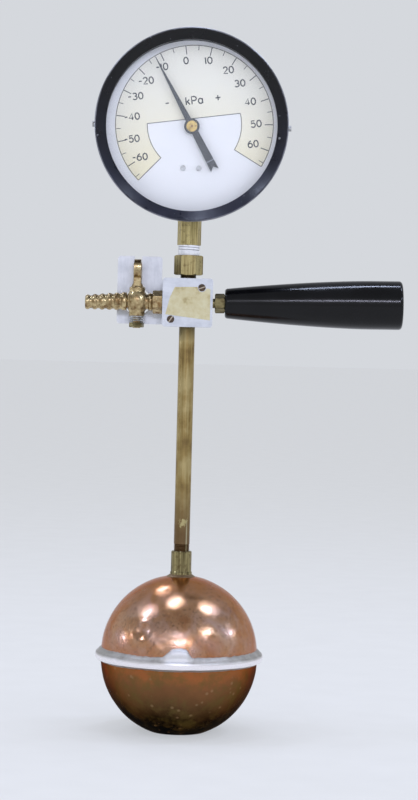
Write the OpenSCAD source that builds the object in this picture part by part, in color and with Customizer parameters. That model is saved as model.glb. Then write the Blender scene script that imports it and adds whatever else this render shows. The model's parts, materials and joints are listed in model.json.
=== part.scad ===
// Gas thermometer: a copper gas ball on a brass stem, with a pressure gauge, a stopcock and a handle.
// All sizes are millimetres. The origin is the centre of the ball's flat foot, on the stem's axis.
// +Z is up along the stem, the gauge faces -Y, and the handle points along +X.

/* [Ball] */
// Outer radius of each copper hemisphere
ball_r = 51; // [45:0.1:58]
// Wall of the copper hemispheres
ball_wall = 0.9; // [0.6:0.1:2]
// Straight height of each hemisphere at the seam
seam_straight = 1.65; // [1:0.05:4]
// Radius of the flat on which the ball stands
foot_r = 18; // [10:0.5:22]
// Width of the turned-out lips at the seam
lip_w = 2.8; // [1:0.1:3]
// Thickness of each lip
lip_t = 0.9; // [0.6:0.1:1.6]
// How far the solder bead stands out from the ball
bead_w = 3.8; // [3.3:0.1:6]
// Height of the solder bead
bead_h = 4.8; // [3:0.1:8]
// Height of the solder's slope above the seam
bead_rise = 5; // [3.5:0.1:9]
// Depth of the solder's slope below the seam
bead_drop = 3.9; // [3:0.1:8]
// Arc length of the thick solder patch over the seam, at the front
patch_len = 20; // [8:1:40]
// Height of the solder patch above the seam
patch_h = 11.3; // [7:0.1:15]
// Width of the solder patch at its top
patch_top_w = 11; // [6:0.5:20]
// Thickness of the solder patch
patch_t = 1.6; // [0.8:0.1:3]

/* [Stem] */
// Outside diameter of the stem pipe
stem_d = 10.3; // [8:0.1:14]
// Bore of the stem pipe
stem_bore = 6.8; // [3:0.1:7]
// Bare length of the stem between the collar and the block
stem_len = 146.1; // [80:0.1:220]
// Pitch of the pipe thread
thread_pitch = 0.94; // [0.6:0.02:1.4]
// Depth of the pipe thread
thread_deep = 0.45; // [0.2:0.05:0.6]
// Turns of thread that show above the collar
thread_turns = 5; // [1:1:12]
// Diameter of the collar at its top
collar_top_d = 13.4; // [12:0.1:18]
// Diameter of the collar at its foot
collar_foot_d = 14.3; // [13:0.1:20]
// Height of the collar
collar_h = 16.3; // [10:0.1:24]
// Depth of thread in the collar
collar_thread = 10; // [5:0.5:14]
// How far the collar's spigot reaches into the ball
spigot_len = 3; // [1.5:0.5:6]
// Width of the solder fillet at the collar's foot
fillet_w = 2.2; // [0.8:0.1:4]

/* [Block] */
// Width of the aluminium block
block_w = 32.6; // [28:0.1:44]
// Height of the block
block_h = 31.6; // [28:0.1:44]
// Depth of the block, front to back
block_d = 19; // [17:0.5:30]
// Radius of the block's long edges
block_edge = 1.9; // [0.5:0.1:4]
// Depth of each threaded port
port_deep = 9; // [6:0.5:10]
// Diameter of the drilled gas passages
passage_d = 4; // [2:0.1:5]
// Diameter of the block screws
screw_d = 2.9; // [2:0.1:4]
// Diameter of the block screws' heads
screw_head_d = 4.7; // [4.2:0.1:7]
// Height of the block screws' heads
screw_head_h = 1.7; // [1:0.1:3]
// Width of the screwdriver slots
slot_w = 0.7; // [0.4:0.05:1]
// Distance of the upper screw right of the block's centre
screw_right = 9.1; // [8.6:0.1:12]
// Distance of the upper screw above the block's centre
screw_up = 9.8; // [8.6:0.1:12.5]
// Distance of the lower screw left of the block's centre
screw_left = 10.7; // [8.6:0.1:12.5]
// Distance of the lower screw below the block's centre
screw_down = 11; // [8.6:0.1:12.5]
// Thickness of the masking tape
tape_t = 0.2; // [0.1:0.05:0.5]

/* [Guard plate] */
// Thickness of the guard plate
guard_t = 1.6; // [1:0.1:3]
// Reach of the guard plate left of the stem's axis
guard_left = 46.4; // [42:0.1:60]
// Top of the guard plate above the block's centre
guard_top = 29.8; // [24:0.1:40]
// Bottom of the guard plate below the block's centre
guard_bottom = 14.4; // [13:0.1:15.5]
// Gap between the tall part of the plate and the block's side
guard_step = 0.9; // [0.5:0.1:3]
// How far the notch reaches below the stopcock's axis
notch_low = 8; // [6:0.1:10]
// Width of the notch at its foot
notch_foot = 8; // [5:0.1:12]
// Width of the slot over the stopcock
guard_slot = 4.95; // [4.4:0.05:8]
// Half height of the notch round the stopcock
notch_r = 12.6; // [10:0.1:14]
// Corner radius of the plate
guard_corner = 2.2; // [0.5:0.1:3]
// Width across flats of the nuts behind the plate
back_nut_af = 6.3; // [5:0.1:8]
// Thickness of the nuts behind the plate
back_nut_h = 2.4; // [1.5:0.1:4]

/* [Stopcock] */
// Distance of the stopcock's axis left of the stem
cock_out = 33; // [30:0.1:40]
// Radius of the round body
cock_r = 7.2; // [6:0.1:8]
// Radius of the curve down the round body's side
cock_curve = 11; // [9:0.5:30]
// Half height of the body's bosses
boss_up = 9.3; // [8:0.1:12]
// Radius of the body's bosses
boss_r = 5.1; // [4.8:0.1:6.2]
// Width across flats of the hexagon at the block
cock_hex = 13.2; // [11:0.1:16]
// Length of that hexagon
cock_hex_len = 6.5; // [4:0.1:9]
// Radius of the necks on each side of the body
neck_r = 5; // [3.4:0.1:5.6]
// Distance from the stopcock's axis to the hose tail's tip
tail_len = 33.7; // [28:0.1:50]
// Number of ridges on the hose tail
ridges = 6; // [3:1:8]
// Pitch of the ridges
ridge_pitch = 4.75; // [4:0.05:5]
// Diameter over the first ridge
ridge_d = 9.1; // [8:0.1:11]
// Growth of the diameter from ridge to ridge
ridge_grow = 0.32; // [0:0.02:0.5]
// Radius of a ridge's round back
ridge_round = 1.55; // [1:0.05:1.8]
// Radius between the ridges
tail_r = 3.5; // [3:0.1:3.9]
// Bore of the hose tail and of the plug's port
cock_bore = 3.2; // [2:0.1:3.6]
// Radius of the tapered plug at its top
plug_r_top = 4.2; // [3.8:0.05:4.4]
// Radius of the tapered plug at its bottom
plug_r_low = 3.5; // [2.9:0.05:3.6]
// Running clearance of the plug in the body
plug_gap = 0.05; // [0.02:0.01:0.1]
// Thickness of the thumb piece
thumb_t = 4.4; // [3:0.1:6]
// Width of the thumb piece
thumb_w = 16.4; // [10:0.2:18]
// Height of the thumb piece's top above the stopcock's axis
thumb_top = 27.4; // [22:0.2:32]
// Height of the wide part of the thumb piece
thumb_h = 12; // [10:0.5:14]
// Radius of the round rib up the thumb piece
thumb_rib = 2.7; // [2:0.1:3.4]
// Diameter of the plug's threaded end
plug_stud_d = 4.8; // [3:0.1:5.4]
// Thickness of the washer
plug_washer_t = 0.7; // [0.4:0.05:1.2]
// Diameter of the washer
plug_washer_d = 9.6; // [8:0.1:12]
// Wire of the plug's spring
spring_wire = 0.8; // [0.5:0.05:1]
// Diameter of the spring, to the middle of its wire
spring_d = 7.6; // [7:0.1:9]
// Pitch of the spring
spring_pitch = 1.35; // [1.25:0.05:2]
// Curls of the spring
spring_curls = 2; // [1:1:4]
// Width across flats of the nut
plug_nut_af = 8.6; // [7:0.1:11]
// Height of the nut
plug_nut_h = 3.2; // [2:0.1:5]

/* [Handle] */
// Diameter of the threaded stud
stud_d = 6.2; // [4:0.1:8]
// Length of the stud inside the handle
stud_in = 22; // [12:1:24]
// Bare neck of the stud between the block and the nut
stud_neck = 1.4; // [0.5:0.1:6]
// Width across flats of the lock nut
lock_af = 11.1; // [10:0.1:14]
// Degrees by which the stud's hole points up, so that the handle stands a little high
handle_tilt = 0.75; // [0:0.05:1.5]
// Thickness of the lock nut
lock_h = 6.5; // [3:0.1:8]
// Diameter of the brass insert in the handle
insert_d = 10; // [9:0.1:13]
// Length of the brass insert
insert_len = 26; // [25:1:34]
// Length of the handle
grip_len = 115.4; // [80:1:140]
// Diameter of the handle at the block
grip_d_in = 19.2; // [17:0.1:26]
// Diameter of the handle at its far end
grip_d_out = 31.7; // [27:0.1:40]
// Length over which the handle swells
grip_swell = 95; // [50:1:110]
// Rounding of the handle's far edge
grip_round = 2.2; // [0.5:0.1:4]
// Rounding of the handle's inner edge
grip_round_in = 1.3; // [0.5:0.1:3]

/* [Gauge fitting] */
// Thread that shows between the block and the adapter
adapter_neck = 2.2; // [0.5:0.1:5]
// Width across flats of the adapter
adapter_af = 16.3; // [15.4:0.1:22]
// Height of the adapter's hexagon
adapter_h = 12.8; // [9:0.1:18]
// Diameter of the small thread in the block
small_thread_d = 10.2; // [9:0.1:12]
// Diameter of the gauge's thread
gauge_thread_d = 13.3; // [12:0.1:14]
// Length of the taped thread that shows
taped_len = 6.6; // [3:0.1:10]
// Thickness of the wrapped thread tape
wrap_t = 0.35; // [0.2:0.05:0.6]
// Bands of the wrapped thread tape
wrap_bands = 3; // [1:1:5]
// Width across flats of the gauge's octagonal shank
shank_af = 14.2; // [14:0.1:20]
// Width of the socket's pad on the case's back
pad_w = 16; // [15:0.5:20]
// Length of the shank below the bezel
shank_len = 14.1; // [6:0.1:24]

/* [Gauge case] */
// Radius of the opening in the bezel
opening_r = 55.1; // [50:0.1:64]
// How far the case reaches out past the opening
case_rim = 3.7; // [3.2:0.1:5]
// Wall of the bezel's skirt
skirt_t = 2.2; // [1.4:0.1:4]
// How far the bezel's front lip stands out past its skirt
bezel_lip = 1; // [0.5:0.1:2]
// Sheet thickness of the case
case_wall = 1.2; // [0.8:0.1:1.6]
// Depth of the case behind the stem's axis
case_back = 20; // [18.5:0.1:30]
// Radius of the bend round the case's back edge
case_bend = 3; // [2.2:0.1:5]
// Height of the bezel's lip in front of the stem's axis
bezel_front = 25; // [22:0.1:30]
// Depth of the bezel's sloping face
bezel_slope = 5.5; // [2:0.1:6]
// Length of the bezel from its lip to the skirt's edge
bezel_len = 16.5; // [16:0.1:16.7]
// Thickness of the window
window_t = 2; // [1:0.1:3]
// Distance from the window's front to the edge of the opening
window_in = 3; // [1:0.1:4]
// Thickness of the gasket
gasket_t = 1; // [0.5:0.1:1.5]
// Front of the dial in front of the stem's axis
dial_front = 8; // [7.6:0.1:9]
// Thickness of the dial
dial_t = 0.8; // [0.5:0.1:1.5]
// Diameter of the screws in the bezel's side
side_screw_d = 3.6; // [2.5:0.1:5]
// Height of those screws' heads
side_screw_h = 3; // [1.5:0.1:5]
// Diameter of the heads of the screws in the case's back
back_screw_d = 6; // [4:0.1:8]
// Diameter of those screws' shanks
back_shank_d = 3; // [2:0.1:3.6]
// Distance of each of those screws from the middle
back_screw_out = 5; // [4.2:0.1:5.4]

/* [Scale card] */
// White of the dial that shows round the paper card
card_margin = 4.2; // [2:0.1:8]
// Radius of the window in the card
card_window_r = 30.2; // [24:0.1:34]
// Height of the window's straight edge above the card's centre
card_chord = 3.8; // [3:0.1:8]
// Angle from the card's zero to each end
card_end = 128.5; // [120:0.5:135]
// Turn of the card, anticlockwise
card_turn = 7.7; // [-15:0.1:15]
// Card's centre right of the gauge's axis
card_right = 1.6; // [-1.8:0.1:1.8]
// Card's centre above the gauge's axis
card_up = 1.5; // [0:0.1:1.8]
// Thickness of the card
card_t = 0.25; // [0.1:0.05:0.4]
// Distance of each dial screw from the middle
dial_screw_out = 5.1; // [4.5:0.1:8]
// Distance of the dial screws below the gauge's axis
dial_screw_down = 26.8; // [25.5:0.1:28]
// Diameter of the dial screws' heads
dial_screw_d = 3.6; // [2.6:0.1:4.6]

/* [Pointer] */
// How far the pointer ends inside the card's edge
pointer_short = 0.8; // [0:0.1:8]
// Length of the pointer's tail
pointer_tail = 32; // [20:0.1:40]
// Width of the blade at the hub
pointer_w = 4.2; // [2:0.1:6]
// Width of the blade at its tip
pointer_tip_w = 0.4; // [0.2:0.1:1]
// Width at the end of the tail
tail_end_w = 5.5; // [3:0.1:8]
// Depth of the notch in the tail
tail_notch = 2.7; // [1:0.1:4]
// Thickness of the pointer
pointer_t = 0.6; // [0.4:0.1:1]
// Turn of the pointer at rest, anticlockwise from upright
pointer_rest = 29.1; // [0:0.1:60]
// Diameter of the pointer's round middle
pointer_ring_d = 10; // [9:0.1:14]
// Diameter of the brass hub
hub_d = 7.1; // [5:0.1:8]

/* [Movement] */
// Module of the gear teeth
gear_module = 0.4; // [0.3:0.02:0.42]
// Teeth of the pinion
pinion_teeth = 12; // [12:1:14]
// Teeth of the whole wheel that the sector is cut from
sector_teeth = 96; // [84:1:96]
// Teeth that the sector keeps on each side of its middle
sector_side_teeth = 7; // [6:1:8]
// Clearance between the flanks of the teeth
gear_gap = 0.1; // [0.04:0.02:0.14]
// Thickness of the sector
sector_t = 1.2; // [0.8:0.1:1.4]
// Diameter of the shafts
shaft_d = 1.8; // [1.2:0.1:2.4]
// Running clearance of each shaft and pin in its hole
shaft_gap = 0.05; // [0.02:0.01:0.1]
// Thickness of the movement's two plates
plate_t = 1.2; // [0.8:0.1:1.6]
// Space between the two plates
plate_space = 9; // [8.4:0.1:11]
// Front of the front plate, in front of the stem's axis
plate_front = 4.2; // [3.8:0.1:4.6]
// Half width of the plates' head
plate_half = 17; // [16.5:0.1:18]
// Height of that head
plate_head = 15; // [12:0.5:18]
// Top of the plates above the gauge's axis
plate_up = 10.5; // [9:0.1:12]
// Half width of the plates' waist
plate_waist = 13; // [11:0.1:14.4]
// Half width of the plates' foot
plate_foot_half = 14.5; // [13.5:0.1:16]
// Height of that foot
plate_foot = 9; // [7:0.5:10]
// Gap between the plates' foot and the holder of the Bourdon tube
plate_room = 2; // [1.5:0.1:3]
// Thickness of the bracket that carries the plates
bracket_t = 2; // [1.5:0.1:4]
// Width of that bracket
bracket_w = 20; // [18:0.5:30]
// Top of that bracket below the gauge's axis
bracket_down = 15; // [13:0.5:20]
// Diameter of the pillars
pillar_d = 3.2; // [2.4:0.1:4]
// Distance of the tail pin right of the sector's shaft
pin_right = 3.5; // [3:0.1:4]
// Distance of the tail pin below the sector's shaft
pin_down = 4.4; // [4:0.1:5]
// Distance of the tip pin inside the middle of the Bourdon tube
tip_in = 7; // [6:0.1:8]
// Distance of the tip pin below the gauge's axis
tip_down = 12; // [11:0.1:13]
// Thickness of the link
link_t = 0.8; // [0.6:0.1:1]
// Clearance of the link's eye round the tip pin
eye_gap = 0.45; // [0.3:0.05:0.7]
// Turns of the hairspring
hair_turns = 5; // [3:1:7]
// Outer radius of the hairspring
hair_r = 7.5; // [6:0.1:9]

/* [Bourdon tube] */
// Radius of the tube's bend, to its middle
tube_r = 40; // [39:0.1:43]
// Width of the flattened tube, front to back
tube_w = 11; // [8:0.1:13]
// Thickness of the flattened tube
tube_t = 5; // [3:0.1:6]
// Wall of the tube
tube_wall = 0.5; // [0.3:0.05:1]
// Angle that the tube bends through
tube_sweep = 270; // [260:1:275]

/* [Hidden] */
$fn = 64;
// Small gaps: between soldered or screwed faces, between screwed threads, and for free running
joint_gap = 0.02;
thread_gap = 0.03;
run_gap = 0.06;
eps = 0.01;

// Heights of the ball
low_centre = sqrt(pow(ball_r, 2) - pow(foot_r, 2));
seam_z = low_centre + seam_straight;
top_centre = seam_z + seam_straight;
ball_top = top_centre + ball_r;

// Section of the seam's solder: its slopes run from its rim to just inside the ball's skin
bead_out = ball_r + bead_w;
bead_in = ball_r - 0.3;
bead_round = bead_h * 0.3;

// Heights of the collar, stem and block
collar_hole_r = collar_foot_d / 2 - 1.6;
collar_z = top_centre + sqrt(pow(ball_r, 2) - pow(collar_foot_d / 2, 2));
collar_top = collar_z + collar_h;
stem_foot = collar_top - collar_thread;
block_low = collar_top + stem_len;
block_z = block_low + block_h / 2;
block_top = block_low + block_h;
block_half = block_w / 2;
block_back = block_d / 2;
screw_places = [[screw_right, screw_up], [-screw_left, -screw_down]];
head_deep = screw_head_h + 0.1;

// Masking tape: its torn outline, from the block's centre
tape_outline = [[-8.5, 9.9], [7.1, 10.3], [14.6, 9.0], [14.8, -11.2], [-14.3, -7.9], [-11.6, 3.1]];

// Stopcock
cock_hex_x = -block_half - joint_gap;
washer_top = -boss_up - run_gap;
washer_low = washer_top - plug_washer_t;
spring_len = spring_curls * spring_pitch + spring_wire;
nut_top = washer_low - spring_len - 2 * joint_gap;
nut_low = nut_top - plug_nut_h;

// Handle
lock_x = block_half + stud_neck;
grip_x = lock_x + lock_h;

// Gauge fitting and gauge
adapter_z = block_top + adapter_neck;
adapter_top = adapter_z + adapter_h;
shank_z = adapter_top + taped_len;
case_r = opening_r + case_rim;
bezel_fit = 0.15;
skirt_r = case_r + bezel_fit + skirt_t;
bezel_r = skirt_r + bezel_lip;
lip_in_r = opening_r + 0.9;
window_r = case_r - 0.9;
gauge_z = shank_z + shank_len + bezel_r;
gauge_thread_r = gauge_thread_d / 2;
small_r = small_thread_d / 2;
shank_corner_r = shank_af / 2 / cos(22.5);
socket_neck_r = 6.3;

// Depths in the gauge, in front of the stem's axis
slope_foot = bezel_front - bezel_slope;
window_front = slope_foot - window_in;
window_back = window_front - window_t;
case_front = window_back - gasket_t;
dial_back = dial_front - dial_t;
dial_r = lip_in_r - 0.4;
card_r = dial_r - card_margin;
pointer_len = card_r - pointer_short;
pointer_z = dial_front + 3;
hub_front = pointer_z + pointer_t + 1;
side_screw_y = -(bezel_front - bezel_len + 2.5);
side_shank_r = side_screw_d / 3;
back_screw_len = 9;

// Movement
plate_back = plate_front - plate_t;
rear_plate_front = plate_back - plate_space;
rear_plate_back = rear_plate_front - plate_t;
hair_z = rear_plate_front + 1.2;
hair_h = 1.2;
collet_r = shaft_d / 2 + 0.7;
sector_z = rear_plate_front + 5;
link_z = sector_z + sector_t + 0.3;
pinion_r = gear_module * pinion_teeth / 2;
sector_r = gear_module * sector_teeth / 2;
shaft_down = pinion_r + sector_r;
shaft_r = shaft_d / 2;
hole_r = shaft_r + shaft_gap;
pin_r = 0.7;
pin_at = [pin_right, -shaft_down - pin_down];
tip_at = [tube_r - tip_in, -tip_down];
link_vec = tip_at - pin_at;
link_len = norm(link_vec);
link_turn = atan2(link_vec[1], link_vec[0]);
pillar_in = 2.7;
holder_r_in = tube_r - tube_t / 2 - 3;
plate_down = holder_r_in - plate_room;
pillar_places = [for (s = [-1, 1]) each [[s * (plate_half - pillar_in), plate_up - 1.6 * pillar_in],
    [s * (plate_foot_half - pillar_in), 1.5 * pillar_in - plate_down]]];
bracket_screws = [for (s = [-1, 1]) [0.35 * s * bracket_w, 5.5 - plate_down]];

// Bourdon tube: it starts left of the gauge's foot and bends clockwise to its tip
tube_root = 255;
tube_end = tube_root - tube_sweep;
holder_from = tube_root;
holder_to = 285;
holder_r_out = tube_r + tube_t / 2 + 3;
holder_half = tube_w / 2 + 1.2;

// Spring of the stopcock's plug: points along the middle of its wire
spring_rings = 8 * spring_curls;
function spring_point(i) = [spring_d / 2 * cos(45 * i), spring_d / 2 * sin(45 * i),
    spring_wire / 2 + spring_pitch * i / 8];
spring_points = [for (i = [0 : spring_rings]) spring_point(i)];
spring_gap = min([for (i = [0 : spring_rings], j = [0 : spring_rings])
    if (j - i >= 6) norm(spring_points[j] - spring_points[i]) - spring_wire]);
echo(spring_least_gap = spring_gap);
echo(gauge_z = gauge_z, block_z = block_z, shaft_down = shaft_down, seam_z = seam_z);

// Shared shapes

// A rectangle with round corners, centred
module round_rect(w, h, r) {
    square([w - 2 * r, h], center = true);
    square([w, h - 2 * r], center = true);
    for (sx = [-1, 1], sy = [-1, 1])
        translate([sx * (w / 2 - r), sy * (h / 2 - r)]) circle(r);
}

// A hexagonal prism across flats af, with its two ends chamfered as on turned bar
module hex_bar(af, h, chamfer = 0.8) {
    corner = af / sqrt(3);
    intersection() {
        cylinder(h = h, r = corner, $fn = 6);
        rotate_extrude() polygon([[0, 0], [corner - chamfer, 0], [corner + eps, chamfer * 0.6],
            [corner + eps, h - chamfer * 0.6], [corner - chamfer, h], [0, h]]);
    }
}

// A slotted screw head standing on z = 0, with its shank below
module slotted_screw(head_d, head_h, shank_r, shank_len) {
    difference() {
        union() {
            cylinder(h = head_h, r = head_d / 2);
            translate([0, 0, -shank_len]) cylinder(h = shank_len + eps, r = shank_r);
        }
        translate([-head_d, -slot_w / 2, head_h * 0.5]) cube([2 * head_d, slot_w, head_h]);
    }
}

// Puts local +Z along -Y, with x to the right and y up, at a depth in front of the stem's axis
module facing(z, depth = 0) {
    translate([0, -depth, z]) rotate([90, 0, 0]) children();
}

// Places a piece on the gauge's axis
module on_gauge(depth = 0) {
    facing(gauge_z, depth) children();
}

// A piece turned about the X axis, starting at x
module along_x(x, z) {
    translate([x, 0, z]) rotate([0, 90, 0]) children();
}

// Along the handle's axis, which leaves the block's side a little upwards
module on_handle(x) {
    translate([block_half, 0, block_z]) rotate([0, 90 - handle_tilt, 0])
        translate([0, 0, x - block_half]) children();
}

// Ball

// Half a ball's outline above its equator: radius r, with a straight part below of height s
module dome_outline(r, s) {
    intersection() {
        union() {
            circle(r);
            translate([0, -s]) square([r, s]);
        }
        translate([0, -s]) square([r, r + s]);
    }
}

// Drawn lower half of the ball, flattened at its foot
module lower_hemisphere() {
    color("peru") rotate_extrude($fn = 96) {
        difference() {
            intersection() {
                translate([0, low_centre]) mirror([0, 1]) dome_outline(ball_r, seam_straight);
                square([ball_r + 1, seam_z]);
            }
            intersection() {
                translate([0, low_centre]) mirror([0, 1])
                    dome_outline(ball_r - ball_wall, seam_straight + 1);
                translate([0, ball_wall]) square([ball_r, 2 * ball_r]);
            }
        }
        translate([ball_r - ball_wall, seam_z - lip_t]) square([ball_wall + lip_w, lip_t]);
    }
}

// Drawn upper half of the ball, with a hole for the collar
module upper_hemisphere() {
    color("sandybrown") rotate_extrude($fn = 96) {
        difference() {
            translate([0, top_centre]) dome_outline(ball_r, seam_straight);
            translate([0, top_centre]) dome_outline(ball_r - ball_wall, seam_straight + 1);
            translate([0, top_centre]) square([collar_hole_r, ball_r + 1]);
        }
        translate([ball_r - ball_wall, seam_z]) square([ball_wall + lip_w, lip_t]);
    }
}

// Bead of soft solder that wraps the two lips, with a slope of solder on the ball above and below
module seam_solder() {
    low_z = seam_z - bead_h / 2;
    high_z = seam_z + bead_h / 2;
    color("silver") rotate_extrude($fn = 96) difference() {
        union() {
            for (z = [low_z + bead_round, high_z - bead_round])
                translate([bead_out - bead_round, z]) circle(bead_round);
            translate([ball_r - 1, low_z + bead_round])
                square([bead_w + 1, bead_h - 2 * bead_round]);
            polygon([[ball_r - 1, seam_z - bead_drop], [bead_in, seam_z - bead_drop],
                [bead_out - bead_round, low_z], [bead_out - bead_round, high_z],
                [bead_in, seam_z + bead_rise], [ball_r - 1, seam_z + bead_rise]]);
        }
        translate([0, seam_z - lip_t - joint_gap])
            square([ball_r + lip_w + joint_gap, 2 * (lip_t + joint_gap)]);
        translate([0, low_centre]) square([ball_r + joint_gap, top_centre - low_centre]);
        translate([0, low_centre]) circle(ball_r + joint_gap, $fn = 360);
        translate([0, top_centre]) circle(ball_r + joint_gap, $fn = 360);
    }
}

// Thick patch of solder on the slope above the seam, at the front of the ball
module solder_patch() {
    end_r = patch_top_w * 0.35;
    low = seam_z + bead_h / 2;
    top = seam_z + patch_h;
    color("lightgray") difference() {
        intersection() {
            translate([0, 0, top_centre]) sphere(ball_r + patch_t, $fn = 96);
            rotate([90, 0, 0]) linear_extrude(ball_r + 9) union() {
                for (s = [-1, 1])
                    translate([s * (patch_top_w / 2 - end_r), top - end_r]) circle(end_r);
                polygon([[-patch_len / 2, low], [patch_len / 2, low],
                    [patch_top_w / 2, top - end_r], [-patch_top_w / 2, top - end_r]]);
                translate([end_r - patch_top_w / 2, low])
                    square([patch_top_w - 2 * end_r, top - low]);
            }
        }
        translate([0, 0, top_centre]) sphere(ball_r + joint_gap, $fn = 96);
        translate([0, 0, low - 1]) cylinder(h = 1 + 2 * joint_gap, r = bead_out, $fn = 96);
        translate([0, 0, low + 2 * joint_gap])
            cylinder(h = bead_rise - bead_h / 2, r1 = bead_out - bead_round, r2 = bead_in, $fn = 96);
        cylinder(h = top_centre + eps, r = ball_r + joint_gap, $fn = 96);
    }
}

// Collar and stem

// Brass collar soldered into the top of the ball
module stem_collar() {
    spigot_r = collar_hole_r - joint_gap;
    color("darkkhaki") rotate_extrude() difference() {
        union() {
            translate([0, collar_z - spigot_len]) square([spigot_r, spigot_len + 1]);
            difference() {
                polygon([[0, collar_z], [collar_foot_d / 2, collar_z],
                    [collar_foot_d / 2, collar_z + 2.5], [collar_top_d / 2, collar_z + 3.2],
                    [collar_top_d / 2, collar_top - 0.5], [collar_top_d / 2 - 0.5, collar_top],
                    [0, collar_top]]);
                translate([0, top_centre]) circle(ball_r + joint_gap, $fn = 720);
            }
        }
        translate([0, collar_z - spigot_len - 1]) square([stem_bore / 2, collar_h + spigot_len]);
        translate([0, stem_foot - joint_gap])
            square([stem_d / 2 + thread_gap, collar_thread + 1]);
    }
}

// Fillet of solder round the collar's foot
module collar_solder() {
    in_r = collar_foot_d / 2 + joint_gap;
    out_r = in_r + fillet_w;
    drop = ball_r - sqrt(pow(ball_r, 2) - pow(out_r, 2));
    color("gray") rotate_extrude() difference() {
        polygon([[in_r, ball_top - drop - 1], [out_r, ball_top - drop - 1],
            [out_r, ball_top - drop + 0.15], [in_r + 0.35 * fillet_w, collar_z + 0.6],
            [in_r, collar_z + 1.2]]);
        translate([0, top_centre]) circle(ball_r + joint_gap, $fn = 720);
    }
}

// Brass pipe with a thread cut on its lower end
module stem_pipe() {
    top = block_low + port_deep - joint_gap;
    r = stem_d / 2;
    color("goldenrod") rotate_extrude() difference() {
        translate([stem_bore / 2, stem_foot]) square([r - stem_bore / 2, top - stem_foot]);
        for (i = [0 : thread_turns - 1])
            translate([r, collar_top + thread_pitch * (i + 0.5)])
                polygon([[-thread_deep, 0], [eps, -thread_pitch / 2 + 0.06],
                    [eps, thread_pitch / 2 - 0.06]]);
    }
}

// Block

// Aluminium block that joins the stem, the gauge, the stopcock and the handle
module manifold_block() {
    color("lightsteelblue") difference() {
        facing(block_z, -block_back) linear_extrude(block_d)
            round_rect(block_w, block_h, block_edge);
        translate([0, 0, block_low - 1]) cylinder(h = port_deep + 1, r = stem_d / 2 + thread_gap);
        translate([0, 0, block_top - port_deep])
            cylinder(h = port_deep + 1, r = small_r + thread_gap);
        translate([0, 0, block_low + 1]) cylinder(h = block_h - 2, r = passage_d / 2);
        along_x(-block_half - 1, block_z) cylinder(h = port_deep + 1, r = small_r + thread_gap);
        along_x(-block_half, block_z) cylinder(h = block_half, r = passage_d / 2);
        on_handle(block_half - port_deep)
            cylinder(h = port_deep + 1, r = stud_d / 2 + thread_gap);
        for (p = screw_places) facing(block_z, 0) translate([p[0], p[1], 0]) {
            cylinder(h = 2 * block_d, r = screw_d / 2 + thread_gap, center = true);
            translate([0, 0, block_back - head_deep])
                cylinder(h = head_deep + 1, r = screw_head_d / 2 + 0.1);
        }
    }
}

// Two long screws through the block and the guard plate
module block_screws() {
    color("dimgray") for (i = [0, 1])
        facing(block_z, block_back - head_deep + joint_gap)
            translate([screw_places[i][0], screw_places[i][1], 0]) rotate([0, 0, 20 + 35 * i])
                slotted_screw(screw_head_d, screw_head_h, screw_d / 2,
                    block_d - head_deep + guard_t + back_nut_h + 0.6);
}

// Nuts on those screws, behind the guard plate
module screw_nuts() {
    color("silver") for (p = screw_places)
        facing(block_z, -block_back - guard_t - back_nut_h - joint_gap)
            translate([p[0], p[1], 0]) difference() {
                hex_bar(back_nut_af, back_nut_h, 0.4);
                cylinder(h = 20, r = screw_d / 2 + thread_gap, center = true);
            }
}

// Sheet guard behind the stopcock, slotted for the thumb piece
module guard_plate() {
    tall_right = -block_half - guard_step;
    right = block_half - 2;
    tall_w = guard_left + tall_right;
    r = guard_corner;
    color("gainsboro") facing(block_z, -block_back - guard_t - joint_gap)
        linear_extrude(guard_t) difference() {
            union() {
                translate([tall_right - tall_w / 2, (guard_top - guard_bottom) / 2])
                    round_rect(tall_w, guard_top + guard_bottom, r);
                translate([(right - guard_left) / 2, 0])
                    round_rect(right + guard_left, 2 * guard_bottom, r);
            }
            translate([-cock_out, 0]) {
                translate([-guard_slot / 2, 0]) square([guard_slot, guard_top + 1]);
                polygon([[0, notch_r], [notch_r, 0], [notch_r - 4.5, -4.5],
                    [notch_foot / 2, -notch_low], [-notch_foot / 2, -notch_low],
                    [2.6 - notch_r, -3], [2.6 - notch_r, 2.6]]);
            }
            for (p = screw_places) translate(p) circle(screw_d / 2 + 0.1);
        }
}

// Piece of masking tape on the block's face
module tape_label() {
    color("wheat") facing(block_z, block_back + joint_gap) linear_extrude(tape_t) difference() {
        polygon(tape_outline);
        for (p = screw_places) translate(p) circle(screw_head_d / 2 + 0.25);
    }
}

// Stopcock

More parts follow.
